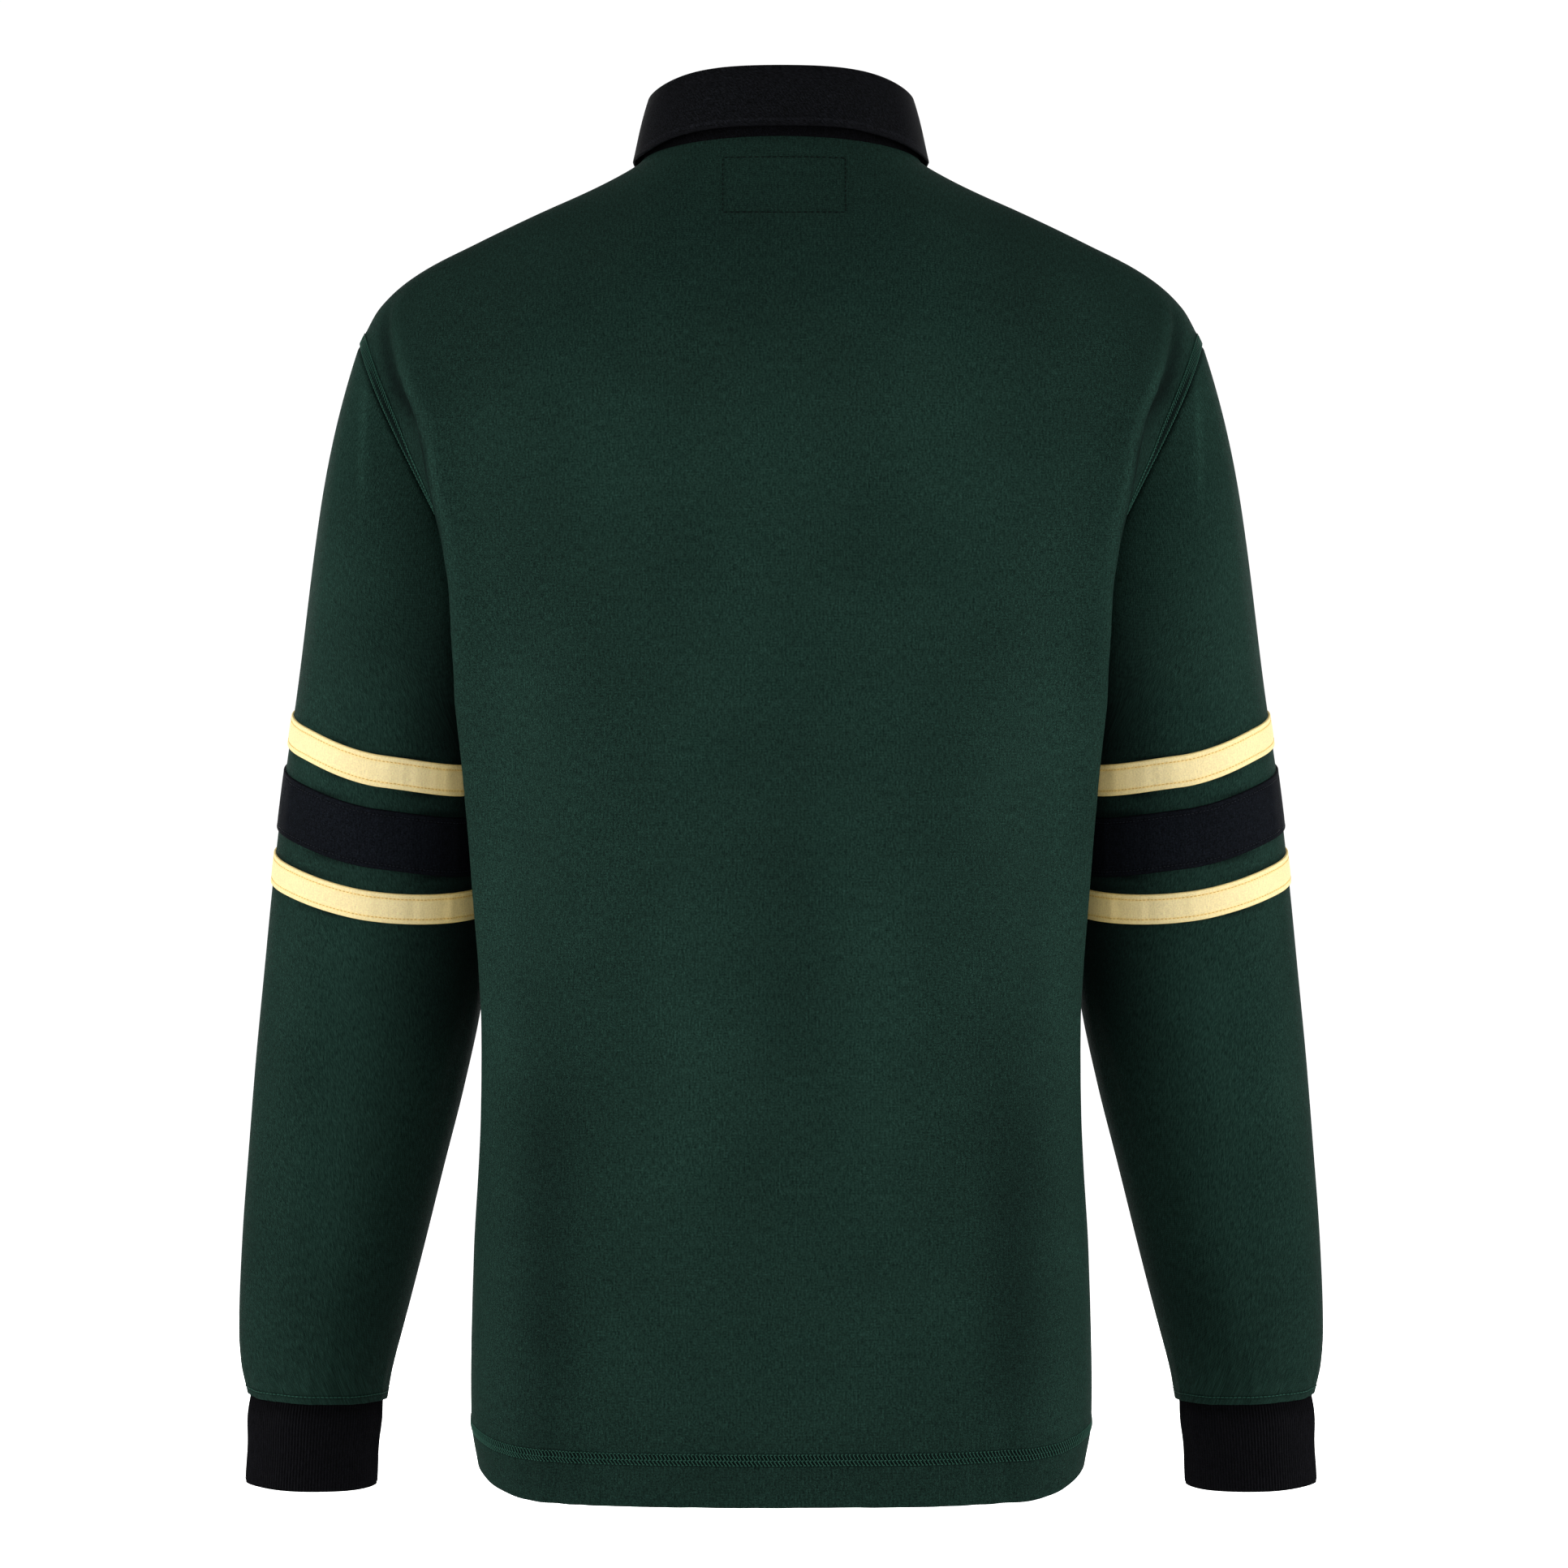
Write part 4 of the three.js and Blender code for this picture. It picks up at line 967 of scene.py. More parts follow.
def sleeve_angles(count):
    """Angles round the sleeve from the underarm seam and back to it, closer beside the seam."""
    even = np.linspace(PI, -PI, count + 1)
    beside = np.array([0.01, 0.022, 0.036])
    return np.unique(np.concatenate([even, PI - beside, beside - PI]))[::-1]


def sleeve_uv(points, angles):
    middle = int(np.argmin(np.abs(angles)))
    across = travelled(points, 1)
    return np.stack([across - across[:, middle : middle + 1], travelled(points, 0)], -1)


def sleeve(count=118):
    angles = sleeve_angles(count)
    beside_seam = [0, 0.006, 0.012, 0.022, 0.036]
    head = np.linspace(0.05, 1, 62)[:-1]
    arm = np.arange(SLEEVE_TOP_Z, SLEEVE_END_Z + 14, -3.8)
    near_end = np.arange(SLEEVE_END_Z + 12, SLEEVE_END_Z + 1, -1.0)
    edge = SLEEVE_END_Z + np.array([0.9, 0.5, 0.25, 0.08, 0])
    downs = np.concatenate([beside_seam, head, sleeve_down(arm), sleeve_down(near_end), sleeve_down(edge)])
    angle, down = np.broadcast_arrays(angles[None, :], downs[:, None])
    outer, inner, _ = sleeve_surface(angle, down)
    uv = sleeve_uv(outer, angles)
    shade = sleeve_shade(angle, down, outer)[:, :-1]
    return wall("sleeve_cloth_left", outer[:, :-1], inner[:, :-1], uv, closed=True, shade=shade)


# Bands laid on the sleeve

BAND_MARGIN = 2.9
BAND_PHASES = {"band_upper": 0.0, "band_middle": 1.7, "band_lower": 3.1}


# The bands run straighter than the sleeve's rings over its outer back, and lower beside the body
BAND_RISE = {"band_upper": (4.8, 4.0), "band_middle": (3.3, 3.6), "band_lower": (2.7, -1.0)}


def band_rise(name, angle):
    turned = np.abs(wrapped(angle))
    outer, inner = BAND_RISE[name]
    return outer * smooth(1.55, 0.6, turned) - inner * smooth(1.6, 2.6, turned)


def band_down(name, angle, at):
    """Place down the sleeve of a line at a distance from the band's top edge."""
    z = BANDS[name][0] - at + band_rise(name, angle)
    over = np.maximum(z - SLEEVE_TOP_Z, 0)
    return np.where(over > 0, 1 - over / head_length(angle), sleeve_down(z))


def band_lift(angle, from_edge, phase):
    """Height of a band's face over the sleeve: rounded edges, sunk stitch rows, slight puckers."""
    turned = wrapped(angle)
    inner_side = smooth(1.2, 2.4, np.abs(turned))
    lift = SEAM_GAP + BAND_CLOTH
    lift -= edge_round(from_edge, BAND_CLOTH * 1.6) - edge_round(np.full_like(from_edge, 9.0), BAND_CLOTH * 1.6)
    lift -= 0.28 * hill(from_edge, BAND_MARGIN, 0.8)
    pucker = waves(turned * 58, (9.1, 0.10, phase), (6.3, 0.07, phase * 2), (15.7, 0.12, phase + 1))
    return lift + pucker * (0.35 + 1.5 * inner_side) * smooth(0.4, BAND_MARGIN, from_edge)


def band(name, count=190):
    top, bottom = BANDS[name]
    width = top - bottom
    edge = np.array([0, 0.12, 0.35, 0.75, 1.3, 2.0, 2.5, 2.9, 3.3, 3.8, 4.6])
    middle = np.linspace(5.8, width - 5.8, max(int(width / 3), 3))
    place = np.concatenate([edge, middle, width - edge[::-1]])
    angles = np.linspace(PI, -PI, count + 1)
    angle, at = np.broadcast_arrays(angles[None, :], place[:, None])
    base, _, normal = sleeve_surface(angle, band_down(name, angle, at))
    from_edge = np.minimum(at, width - at)
    lift = band_lift(angle, from_edge, BAND_PHASES[name])
    outer = base + normal * lift[..., None]
    inner = base + normal * 0.12
    uv = np.stack([(travelled(outer, 1) - travelled(outer, 1)[:, count // 2 : count // 2 + 1]), at], -1)
    # Painted shade in the stitch rows, at the edges and beside the body, where the body shades the band
    beside_body = smooth(1.75, 2.5, np.abs(wrapped(angle)))
    shade = 0.4 * hill(from_edge, BAND_MARGIN, 0.6) + 0.4 * hill(from_edge, 0, 0.6) + 0.45 * beside_body
    return wall(name + "_cloth_left", outer[:, :-1], inner[:, :-1], uv, closed=True, sharp=60, shade=shade[:, :-1])


# Cuffs

def cuff(columns_per_rib=6):
    columns = RIBS * columns_per_rib
    z = np.concatenate([np.linspace(-678, -733, 17), -737 + np.array([2.6, 1.6, 0.8, 0.3, 0])])
    angles = np.linspace(0, 2 * PI, columns + 1)
    angle, z = np.broadcast_arrays(angles[None, :], z[:, None])
    rib = np.cos(angle * RIBS)
    rounded = np.sign(rib) * np.abs(rib) ** 0.7
    from_end = z + 737
    swell = 0.5 * hill(z, -700, 9) - 0.5 * hill(z, -716, 11) + 0.35 * waves(angle * 37, (39, 1, 0.4), (58, 0.7, 2.0))
    fold = edge_round(from_end, CLOTH * 2.6)
    grow = RIB_HEIGHT / 2 * (rounded - 1) + swell - fold
    outer = cuff_point(z, angle, grow)
    inner = cuff_point(z, angle, swell + fold - CLOTH * 1.45)
    uv = np.stack([angle * 37, -z], -1)
    # Painted shade in the valleys between the ribs and at the top, under the sleeve's overhang
    shade = 0.45 * (1 - rounded) / 2 + 0.5 * smooth(-698, -689, z)
    return wall("cuff_cloth_left", outer[:, :-1], inner[:, :-1], uv, closed=True, sharp=75, shade=shade[:, :-1])


def cuff_point(z, angle, grow):
    forward, outward = math.radians(CUFF_LEAN["forward"]), math.radians(CUFF_LEAN["outward"])
    across = (curve(CUFF, "half_width", z) + grow) * np.cos(angle)
    depth = (curve(CUFF, "depth", z) + grow) * np.sin(angle)
    return vec(
        curve(CUFF, "x", z) + across * math.cos(outward),
        curve(CUFF, "y", z) + depth * math.cos(forward),
        z + across * math.sin(outward) - depth * math.sin(forward),
    )


# Collar

def roll_line(angle):
    to_back = np.cos(angle)
    y = to_back * np.where(to_back > 0, ROLL_LINE["back_y"], -ROLL_LINE["front_y"])
    ahead = np.maximum(-to_back, 0)
    side_z = ROLL_LINE["back_z"] - ROLL_LINE["side_drop"]
    behind_z = ROLL_LINE["back_z"] - ROLL_LINE["side_drop"] * np.sin(angle) ** ROLL_LINE["drop_power"]
    z = np.where(ahead > 0, lerp(side_z, ROLL_LINE["front_z"], ahead**2), behind_z)
    return vec(ROLL_LINE["half_width"] * np.sin(angle), y, z)


def roll_outward(angle):
    along = roll_line(angle + 1e-3) - roll_line(angle - 1e-3)
    return unit(vec(-along[..., 1], along[..., 0], 0))


def leaf_edge(angle):
    ahead = -np.cos(angle)
    chest_ahead = np.maximum(ahead, 0)
    point_level = front_level_at(LEAF["point_x"], LEAF["point_z"])
    level = lerp(2, point_level, chest_ahead ** LEAF_EDGE["sink"])
    x = lerp(LEAF["half_width"], LEAF["point_x"], chest_ahead ** LEAF_EDGE["narrow"])
    u = share_at_x(FRONT, x, level)
    on_chest = panel_point(FRONT, u, level) + panel_normal(FRONT, u, level) * LEAF["lift"]
    around = 1 - np.sin(angle) ** LEAF_EDGE["around"]
    behind = vec(
        on_chest[..., 0] * np.abs(np.sin(angle)) ** LEAF_EDGE["round"],
        lerp(on_chest[..., 1], LEAF["back_y"], -ahead),
        lerp(on_chest[..., 2], LEAF["back_z"], around),
    )
    return np.where((ahead >= 0)[..., None], on_chest, behind)


def leaf_line(angle, where):
    """Leaf's face: where is 0 at the start of the roll, 1 at its end and 2 at the leaf's edge."""
    out, middle, edge = roll_outward(angle), roll_line(angle), leaf_edge(angle)

    def rolled(degrees):
        turn = np.radians(degrees)[..., None]
        return middle - out * ROLL_RADIUS * np.cos(turn) + vec(0, 0, ROLL_RADIUS) * np.sin(turn)

    start = rolled(np.full_like(angle, 150.0))
    fall = np.linalg.norm(edge - start, axis=-1, keepdims=True)
    leave = unit(out * 0.3 + vec(0, 0, -0.9)) * fall
    arrive = unit(edge - start) * fall
    hung = hermite(start, leave, edge, arrive, np.clip(where - 1, 0, 1)[..., None])
    return np.where((where < 1)[..., None], rolled(150 * np.minimum(where, 1)), hung)


def both_sides(points_at, angle, *rest):
    points = points_at(np.abs(angle), *rest)
    points[..., 0] *= np.where(angle < 0, -1, 1)
    return points


LEAF_MARGIN = 3.6
LEAF_LENGTH = 34


def collar_angles(count):
    end = PI - math.asin(COLLAR_END_GAP / 2 / ROLL_LINE["half_width"])
    even = np.linspace(-end, end, count)
    beside = np.array([0.004, 0.012, 0.024])
    return np.unique(np.concatenate([even, end - beside, beside - end]))


def leaf_surface(angle, where):
    base = both_sides(leaf_line, angle, where)
    normal = surface_normal(lambda a, b: both_sides(leaf_line, a, b), angle, where, (-PI, PI), (0, 2), -1)
    from_edge = (2 - where) * LEAF_LENGTH
    soft = 0.5 * waves(angle * 75, (71, 0.5, 0.5), (43, 0.35, 2.3)) * smooth(1.0, 1.6, where)
    fold = edge_round(from_edge, CLOTH)
    fine = -0.3 * hill(from_edge, LEAF_MARGIN, 0.8) - fold
    return base + normal * (soft + fine)[..., None], base + normal * (soft - CLOTH + fold)[..., None], normal


def leaf_shade(from_edge):
    """The topstitching presses a welt and a furrow into the leaf, close to its edge: a painted highlight on the welt
    and painted shade in the furrow.
    """
    return 0.5 * hill(from_edge, LEAF_MARGIN + 1.5, 0.8) - 1.0 * hill(from_edge, LEAF_MARGIN, 0.9)


def collar_leaf():
    angles = collar_angles(280)
    near_edge = [1.88, 1.9, 1.92, 1.94, 1.96, 1.975, 1.985, 1.993, 1.998, 2]
    where = np.concatenate([np.linspace(0, 1, 15)[:-1], np.linspace(1, 1.86, 16), near_edge])
    angle, where = np.broadcast_arrays(angles[:, None], where[None, :])
    outer, inner, _ = leaf_surface(angle, where)
    uv = np.stack([travelled(outer, 0), travelled(outer, 1)], -1)
    return wall("collar_leaf_cloth", outer, inner, uv, shade=leaf_shade((2 - where) * LEAF_LENGTH))


def collar_stand():
    angles = collar_angles(200)
    rise = np.linspace(0, 1, 12)
    turn = np.abs(angles)
    on_seam, out = neck_point(turn), roll_outward(turn)
    faces = []
    for inset in (0, CLOTH):
        base = on_seam - vec(0, 0, STAND_SINK) - out * (inset + SEAM_GAP)
        top = roll_line(turn) - out * (ROLL_RADIUS - CLOTH + inset) - vec(0, 0, SEAM_GAP)
        line = lerp(base[:, None], top[:, None], rise[None, :, None])
        line[..., 0] *= np.where(angles < 0, -1, 1)[:, None]
        faces.append(line)
    uv = np.stack([travelled(faces[0], 0), travelled(faces[0], 1)], -1)
    # Painted shade on the stand's lower part, under the leaf
    shade = np.broadcast_to(0.6 * smooth(0.8, 0.4, rise), faces[0].shape[:2])
    return wall("collar_stand_cloth", faces[0], faces[1], uv, shade=shade)


# Front opening

def placket_strip(name, lift):
    end = PLACKET_END_LEVEL + np.array([0, 0.0005, 0.0015, 0.003])
    levels = np.concatenate([end, np.linspace(PLACKET_END_LEVEL + 0.006, 2, 84)])
    edge = np.array([0, 0.12, 0.35, 0.8, 1.6, 2.4, 3.4])
    half = np.concatenate([PLACKET_HALF - edge, np.linspace(12, 2, 6)])
    x = np.concatenate([-half, [0], half[::-1]])
    u = np.stack([np.sign(v) * share_at_x(FRONT, abs(v), levels) if v else np.zeros_like(levels) for v in x], 1)
    level = np.broadcast_to(levels[:, None], u.shape)
    base, normal = panel_point(FRONT, u, level), panel_normal(FRONT, u, level)
    from_edge = np.minimum(PLACKET_HALF - np.abs(x)[None, :], (level - PLACKET_END_LEVEL) * 235)
    fold = edge_round(from_edge, CLOTH)
    row = 0.2 * hill(from_edge, 2.6, 0.8)
    outer = base + normal * (lift + CLOTH - fold - row)[..., None]
    inner = base + normal * (lift + fold)[..., None]
    uv = np.stack([np.broadcast_to(x[None, :], level.shape), travelled(outer, 0)], -1)
    return wall(name, outer, inner, uv)


def lathe(name, profile, place, axis, count=64):
    """Round body from pairs of radius and height along an axis."""
    radii, heights = np.array(profile).T
    turn = np.linspace(0, 2 * PI, count, endpoint=False)
    side = unit(np.cross(axis, (1.0, 0.0, 0.0)))
    other = np.cross(axis, side)
    ring = side * np.cos(turn)[:, None] + other * np.sin(turn)[:, None]
    points = place + radii[:, None, None] * ring[None] + heights[:, None, None] * axis
    index = np.arange(points.shape[0] * count).reshape(-1, count)
    index = np.concatenate([index, index[:, :1]], 1)
    quads = np.stack([index[:-1, :-1], index[:-1, 1:], index[1:, 1:], index[1:, :-1]], -1)
    return quad_mesh(name, points.reshape(-1, 3), quads.reshape(-1, 4), sharp=40)


def button(number):
    """Rubber button with a raised rim and a shallow hollow inside it."""
    radius, height, rim = BUTTON["radius"], BUTTON["height"], BUTTON["rim"]
    front_z = neck_point(np.array(PI))[2]
    z = front_z - BUTTON["from_neck"] - (number - 1) * BUTTON["spacing"]
    level = level_at_z(FRONT, 0.0, np.array(float(z)))
    normal = panel_normal(FRONT, 0.0, level)
    place = panel_point(FRONT, 0.0, level) + normal * (PLACKET_OUT + SEAM_GAP)
    profile = [(0.02, 0.0), (radius - 0.9, 0.0), (radius - 0.2, 0.35), (radius, 0.95), (radius, height - 1.5)]
    for turn in np.radians(np.arange(0, 181, 20)):
        profile.append((radius - rim + rim * math.cos(turn), height - rim + rim * math.sin(turn)))
    profile += [(radius - 2 * rim - 0.4, height - 1.6), (radius * 0.45, height - 1.75), (2.0, height - 1.5)]
    profile += [(1.2, height - 1.35), (0.02, height - 1.3)]
    return lathe(f"button_rubber_{number}", profile, place, normal)


# Rows of stitching

def along_panel(side, u, level, pitch, lift=0.12, **looks):
    points, _, normal = panel_surface(side, u, level)
    return stitch_line(points + normal * lift, normal, pitch, **looks)


def armhole_stitches():
    """Two rows beside the armhole on the body, with looped thread between them."""
    lines = []
    for side in (BACK, FRONT):
        levels = np.linspace(1.0, 1.995, 400)
        speed = side_speed(side, levels)
        rows = [(1 - row / speed, levels) for row in ARMHOLE_ROWS]
        for u, level in rows:
            lines.append(along_panel(side, u, level, STITCH["armhole"]))
        lines.append(ladder(side, rows, STITCH["armhole"]))
    return lines + [mirrored_line(line) for line in lines]


def ladder(side, rows, pitch):
    """Looped thread that runs slantwise from one row to the next."""
    (low, _, up), (high, _, _) = (panel_surface(side, u, level) for u, level in rows)
    way = np.concatenate([[0], np.cumsum(np.linalg.norm(np.diff(low, axis=0), axis=1))])
    count = int(way[-1] / pitch)
    at = (np.arange(count) + 0.5) * way[-1] / count

    def place(values, where):
        return np.stack([np.interp(where, way, values[:, k]) for k in range(3)], -1)

    normal = unit(place(up, at))
    start = place(low, at) + normal * 0.3
    end = place(high, at + pitch * 0.9) + normal * 0.3
    return thread_segments(start, end, normal, THREAD_RADIUS * 0.8)


def hem_stitches():
    lines = []
    height = UNDERARM[2] - BODY["z"][0]
    for side in (BACK, FRONT):
        u = np.linspace(-0.997, 0.997, 1200)
        rows = [(u, np.full_like(u, (z - BODY["z"][0]) / height)) for z in HEM_ROWS_Z]
        for shares, level in rows:
            lines.append(along_panel(side, shares, level, STITCH["hem"], fill=0.6))
        lines.append(ladder(side, rows[1::-1], STITCH["hem"]))
        lines.append(ladder(side, rows[:0:-1], STITCH["hem"]))
    return lines


# Stitched outline under the collar at the back: a plain patch's sewing, with nothing on it
PATCH = {"left": 31.4, "right": -34.8, "top": 0.2, "bottom": -31.6}


def patch_stitches():
    corners = [
        (PATCH["left"], PATCH["top"]),
        (PATCH["left"], PATCH["bottom"]),
        (PATCH["right"], PATCH["bottom"]),
        (PATCH["right"], PATCH["top"]),
        (PATCH["left"], PATCH["top"]),
    ]
    lines = []
    for (x0, z0), (x1, z1) in zip(corners, corners[1:]):
        t = np.linspace(0, 1, 24)
        level, u = places_on_back(lerp(x0, x1, t), lerp(z0, z1, t))
        lines.append(along_panel(BACK, u, level, STITCH["patch"], lift=0.05, fill=0.66, radius=0.36))
    return lines


def places_on_back(x, z):
    """Level and u of the back panel's points with these x and z, by bisection on the level."""
    low, high = np.full_like(x, 1.2), np.full_like(x, 2.0)
    for _ in range(24):
        level = (low + high) / 2
        u = share_at_x(BACK, np.abs(x), level)
        below = panel_point(BACK, u, level)[..., 2] < z
        low, high = np.where(below, level, low), np.where(below, high, level)
    return level, np.sign(x) * u


def cuff_row_stitches():
    angle = np.linspace(PI, -PI, 500)
    points, _, normal = sleeve_surface(angle, np.full_like(angle, sleeve_down(SLEEVE_END_Z + CUFF_ROW)))
    line = stitch_line(points + normal * 0.12, normal, STITCH["cuff"])
    return [line, mirrored_line(line)]


def band_stitches(name):
    top, bottom = BANDS[name]
    lines = []
    for at in (BAND_MARGIN, top - bottom - BAND_MARGIN):
        angle = np.linspace(PI, -PI, 900)
        points, _, normal = sleeve_surface(angle, band_down(name, angle, at))
        lift = band_lift(angle, np.full_like(angle, BAND_MARGIN), BAND_PHASES[name])
        lines.append(stitch_line(points + normal * lift[:, None], normal, STITCH["band"], 0.62, 0.27, 0.08))
    return lines + [mirrored_line(line) for line in lines]


def collar_stitches():
    angle = collar_angles(900)[6:-6]
    where = np.full_like(angle, 2 - LEAF_MARGIN / LEAF_LENGTH)
    points, _, normal = leaf_surface(angle, where)
    return [stitch_line(points, normal, STITCH["collar"], radius=0.32, lift=0.2)]


def placket_stitches():
    levels = np.linspace(PLACKET_END_LEVEL + 0.011, 1.99, 260)
    lines = []
    for x in (-PLACKET_ROW, PLACKET_ROW):
        u = math.copysign(1, x) * share_at_x(FRONT, abs(x), levels)
        base, normal = panel_point(FRONT, u, levels), panel_normal(FRONT, u, levels)
        lines.append(stitch_line(base + normal * (PLACKET_OUT - 0.12), normal, STITCH["collar"]))
    for level in (levels[0], levels[0] + 0.05):
        t = np.linspace(-PLACKET_ROW, PLACKET_ROW, 40)
        place = np.full(1, level)
        u = np.array([math.copysign(1, v) * share_at_x(FRONT, abs(v), place)[0] for v in t])
        base, normal = panel_point(FRONT, u, level), panel_normal(FRONT, u, level)
        lines.append(stitch_line(base + normal * (PLACKET_OUT - 0.05), normal, STITCH["collar"]))
    return lines


# Materials

def linear(*rgb):
    """Linear colour from the 0 to 255 values of a picture."""
    out = []
    for value in rgb:
        c = value / 255
        out.append(c / 12.92 if c <= 0.04045 else ((c + 0.055) / 1.055) ** 2.4)
    return (*out, 1.0)


class Nodes:
    """A small helper that adds nodes and links them in one call."""

    def __init__(self, material):
        material.use_nodes = True
        self.tree = material.node_tree
        self.tree.nodes.clear()

    def add(self, kind, settings=None, **inputs):
        node = self.tree.nodes.new(kind)
        for name, value in (settings or {}).items():
            setattr(node, name, value)
        for name, value in inputs.items():
            self.put(node, name, value)
        return node

    def put(self, node, name, value):
        socket = node.inputs[int(name[1:]) if name[0] == "i" and name[1:].isdigit() else name.replace("_", " ")]
        if isinstance(value, bpy.types.NodeSocket):
            self.tree.links.new(value, socket)
        else:
            socket.default_value = value

    def math(self, operation, first, second=None):
        node = self.add("ShaderNodeMath", {"operation": operation}, i0=first)
        if second is not None:
            self.put(node, "i1", second)
        return node.outputs[0]

    def mix(self, factor, first, second, mode="MIX"):
        node = self.add("ShaderNodeMix", {"data_type": "RGBA", "blend_type": mode})
        for index, value in ((0, factor), (6, first), (7, second)):
            self.put(node, f"i{index}", value)
        return node.outputs[2]


def cloth_coordinates(n):
    uv = n.add("ShaderNodeUVMap", {"uv_map": "cloth"})
    split = n.add("ShaderNodeSeparateXYZ", i0=uv.outputs[0])
    return uv.outputs[0], split.outputs[0], split.outputs[1]


def jersey_height(n, across, along, wale, course):
    """Knitted stitches: two slanting legs in each wale."""
    x = n.math("DIVIDE", across, wale)
    leg = n.math("MULTIPLY", n.math("ABSOLUTE", n.math("SUBTRACT", n.math("FRACT", x), 0.5)), 2.0)
    y = n.math("ADD", n.math("DIVIDE", along, course), n.math("MULTIPLY", leg, 0.6))
    rows = n.math("ADD", n.math("MULTIPLY", n.math("SINE", n.math("MULTIPLY", y, 2 * PI)), 0.5), 0.5)
    ridge = n.math("SINE", n.math("MULTIPLY", leg, PI))
    return n.math("MULTIPLY", n.math("POWER", ridge, 0.6), n.math("ADD", n.math("MULTIPLY", rows, 0.45), 0.55))


def twill_height(n, across, along, pitch):
    x = n.math("DIVIDE", n.math("ADD", across, n.math("MULTIPLY", along, 0.7)), pitch)
    diagonal = n.math("ADD", n.math("MULTIPLY", n.math("SINE", n.math("MULTIPLY", x, 2 * PI)), 0.5), 0.5)
    y = n.math("MULTIPLY", n.math("DIVIDE", along, pitch * 0.8), 2 * PI)
    floats = n.math("ADD", n.math("MULTIPLY", n.math("SINE", y), 0.25), 0.75)
    return n.math("MULTIPLY", diagonal, floats)


def noise(n, scale, detail, vector):
    node = n.add("ShaderNodeTexNoise", Scale=scale, Detail=detail, Roughness=0.6, Vector=vector)
    return node.outputs["Fac"]


def cells(n, uv, across, along):
    """Noise over the cloth's own coordinates, in patches of a size in millimetres."""
    scaled = n.add("ShaderNodeVectorMath", {"operation": "MULTIPLY"}, i0=uv)
    n.put(scaled, "i1", (1 / (across * MM), 1 / (along * MM), 1.0))
    return noise(n, 1.0, 1.0, scaled.outputs[0])


def span(n, value, low, high):
    node = n.add("ShaderNodeMapRange", i0=value, i1=0.0, i2=1.0, i3=low, i4=high)
    return node.outputs[0]


def uneven(n, value, amount):
    """A factor round 1 from a value round 0.5."""
    return span(n, value, 1 - amount, 1 + amount)


def painted_light_tint(n, tint):
    """Factor for painted light: white in the open, the tint for painted shade in the depth of seams and folds, and
    over white for a painted highlight on crests.
    """
    carried = n.add("ShaderNodeVertexColor", {"layer_name": "shade"}).outputs["Color"]
    split = n.add("ShaderNodeSeparateXYZ", i0=carried)
    sunk = n.mix(split.outputs[0], (1.0, 1.0, 1.0, 1.0), (*tint, 1.0))
    scaled = n.add("ShaderNodeVectorMath", {"operation": "SCALE"}, i0=sunk)
    n.put(scaled, "Scale", span(n, split.outputs[1], 1.0, 2.2))
    return scaled.outputs[0]


def cloth_material(name, colour, pattern, relief, pitch, contrast, unevenness, tint, fuzz=0.0):
    """Cloth: its stitches in relief, darker between them, uneven wales and flecks, painted shade in seams and folds
    and painted highlights on crests.
    """
    material = bpy.data.materials.new(name)
    n = Nodes(material)
    place = n.add("ShaderNodeTexCoord").outputs["Object"]
    uv, across, along = cloth_coordinates(n)
    if pattern == "jersey":
        height = jersey_height(n, across, along, pitch[0] * MM, pitch[1] * MM)
    else:
        height = twill_height(n, across, along, pitch[0] * MM)
    shade = span(n, height, 1 - contrast, 1 + contrast * 0.7)
    for patch, share in (((pitch[0], 4.0), 0.8), ((0.95, 0.95), 1.2), ((4.5, 7.0), 0.1)):
        shade = n.math("MULTIPLY", shade, uneven(n, cells(n, uv, *patch), unevenness * share))
    shade = n.math("MULTIPLY", shade, uneven(n, noise(n, 14.0, 3.0, place), unevenness * 0.3))
    scaled = n.add("ShaderNodeVectorMath", {"operation": "SCALE"}, i0=tuple(colour[:3]))
    n.put(scaled, "Scale", shade)
    base = n.add("ShaderNodeVectorMath", {"operation": "MULTIPLY"}, i0=scaled.outputs[0], i1=painted_light_tint(n, tint))
    fibre = noise(n, 2600.0, 3.0, place)
    total = n.math("ADD", n.math("MULTIPLY", height, 0.8), n.math("MULTIPLY", fibre, 0.3))
    bump = n.add("ShaderNodeBump", Strength=0.9, Distance=relief * MM, Height=total)
    surface = n.add(
        "ShaderNodeBsdfPrincipled",
        Base_Color=base.outputs[0],
        Roughness=0.95,
        Specular_IOR_Level=0.05,
        Sheen_Weight=fuzz,
        Sheen_Roughness=0.5,
        Sheen_Tint=(0.35, 0.8, 0.65, 1.0),
        Normal=bump.outputs[0],
    )
    n.add("ShaderNodeOutputMaterial", Surface=surface.outputs[0])
    return material


def thread_material(name, colour, specular=0.3):
    """Sewing thread: fine twist lines round the strand and a slight gloss."""
    material = bpy.data.materials.new(name)
    n = Nodes(material)
    place = n.add("ShaderNodeTexCoord").outputs["Object"]
    twist = n.add("ShaderNodeTexWave", {"bands_direction": "DIAGONAL"}, Vector=place, Scale=900.0, Distortion=1.5)
    shade = uneven(n, noise(n, 800.0, 2.0, place), 0.3)
    scaled = n.add("ShaderNodeVectorMath", {"operation": "SCALE"}, i0=tuple(colour[:3]))
    n.put(scaled, "Scale", shade)
    bump = n.add("ShaderNodeBump", Strength=0.5, Distance=0.06 * MM, Height=twist.outputs["Fac"])
    surface = n.add(
        "ShaderNodeBsdfPrincipled",
        Base_Color=scaled.outputs[0],
        Roughness=0.6,
        Specular_IOR_Level=specular,
        Normal=bump.outputs[0],
    )
    n.add("ShaderNodeOutputMaterial", Surface=surface.outputs[0])
    return material


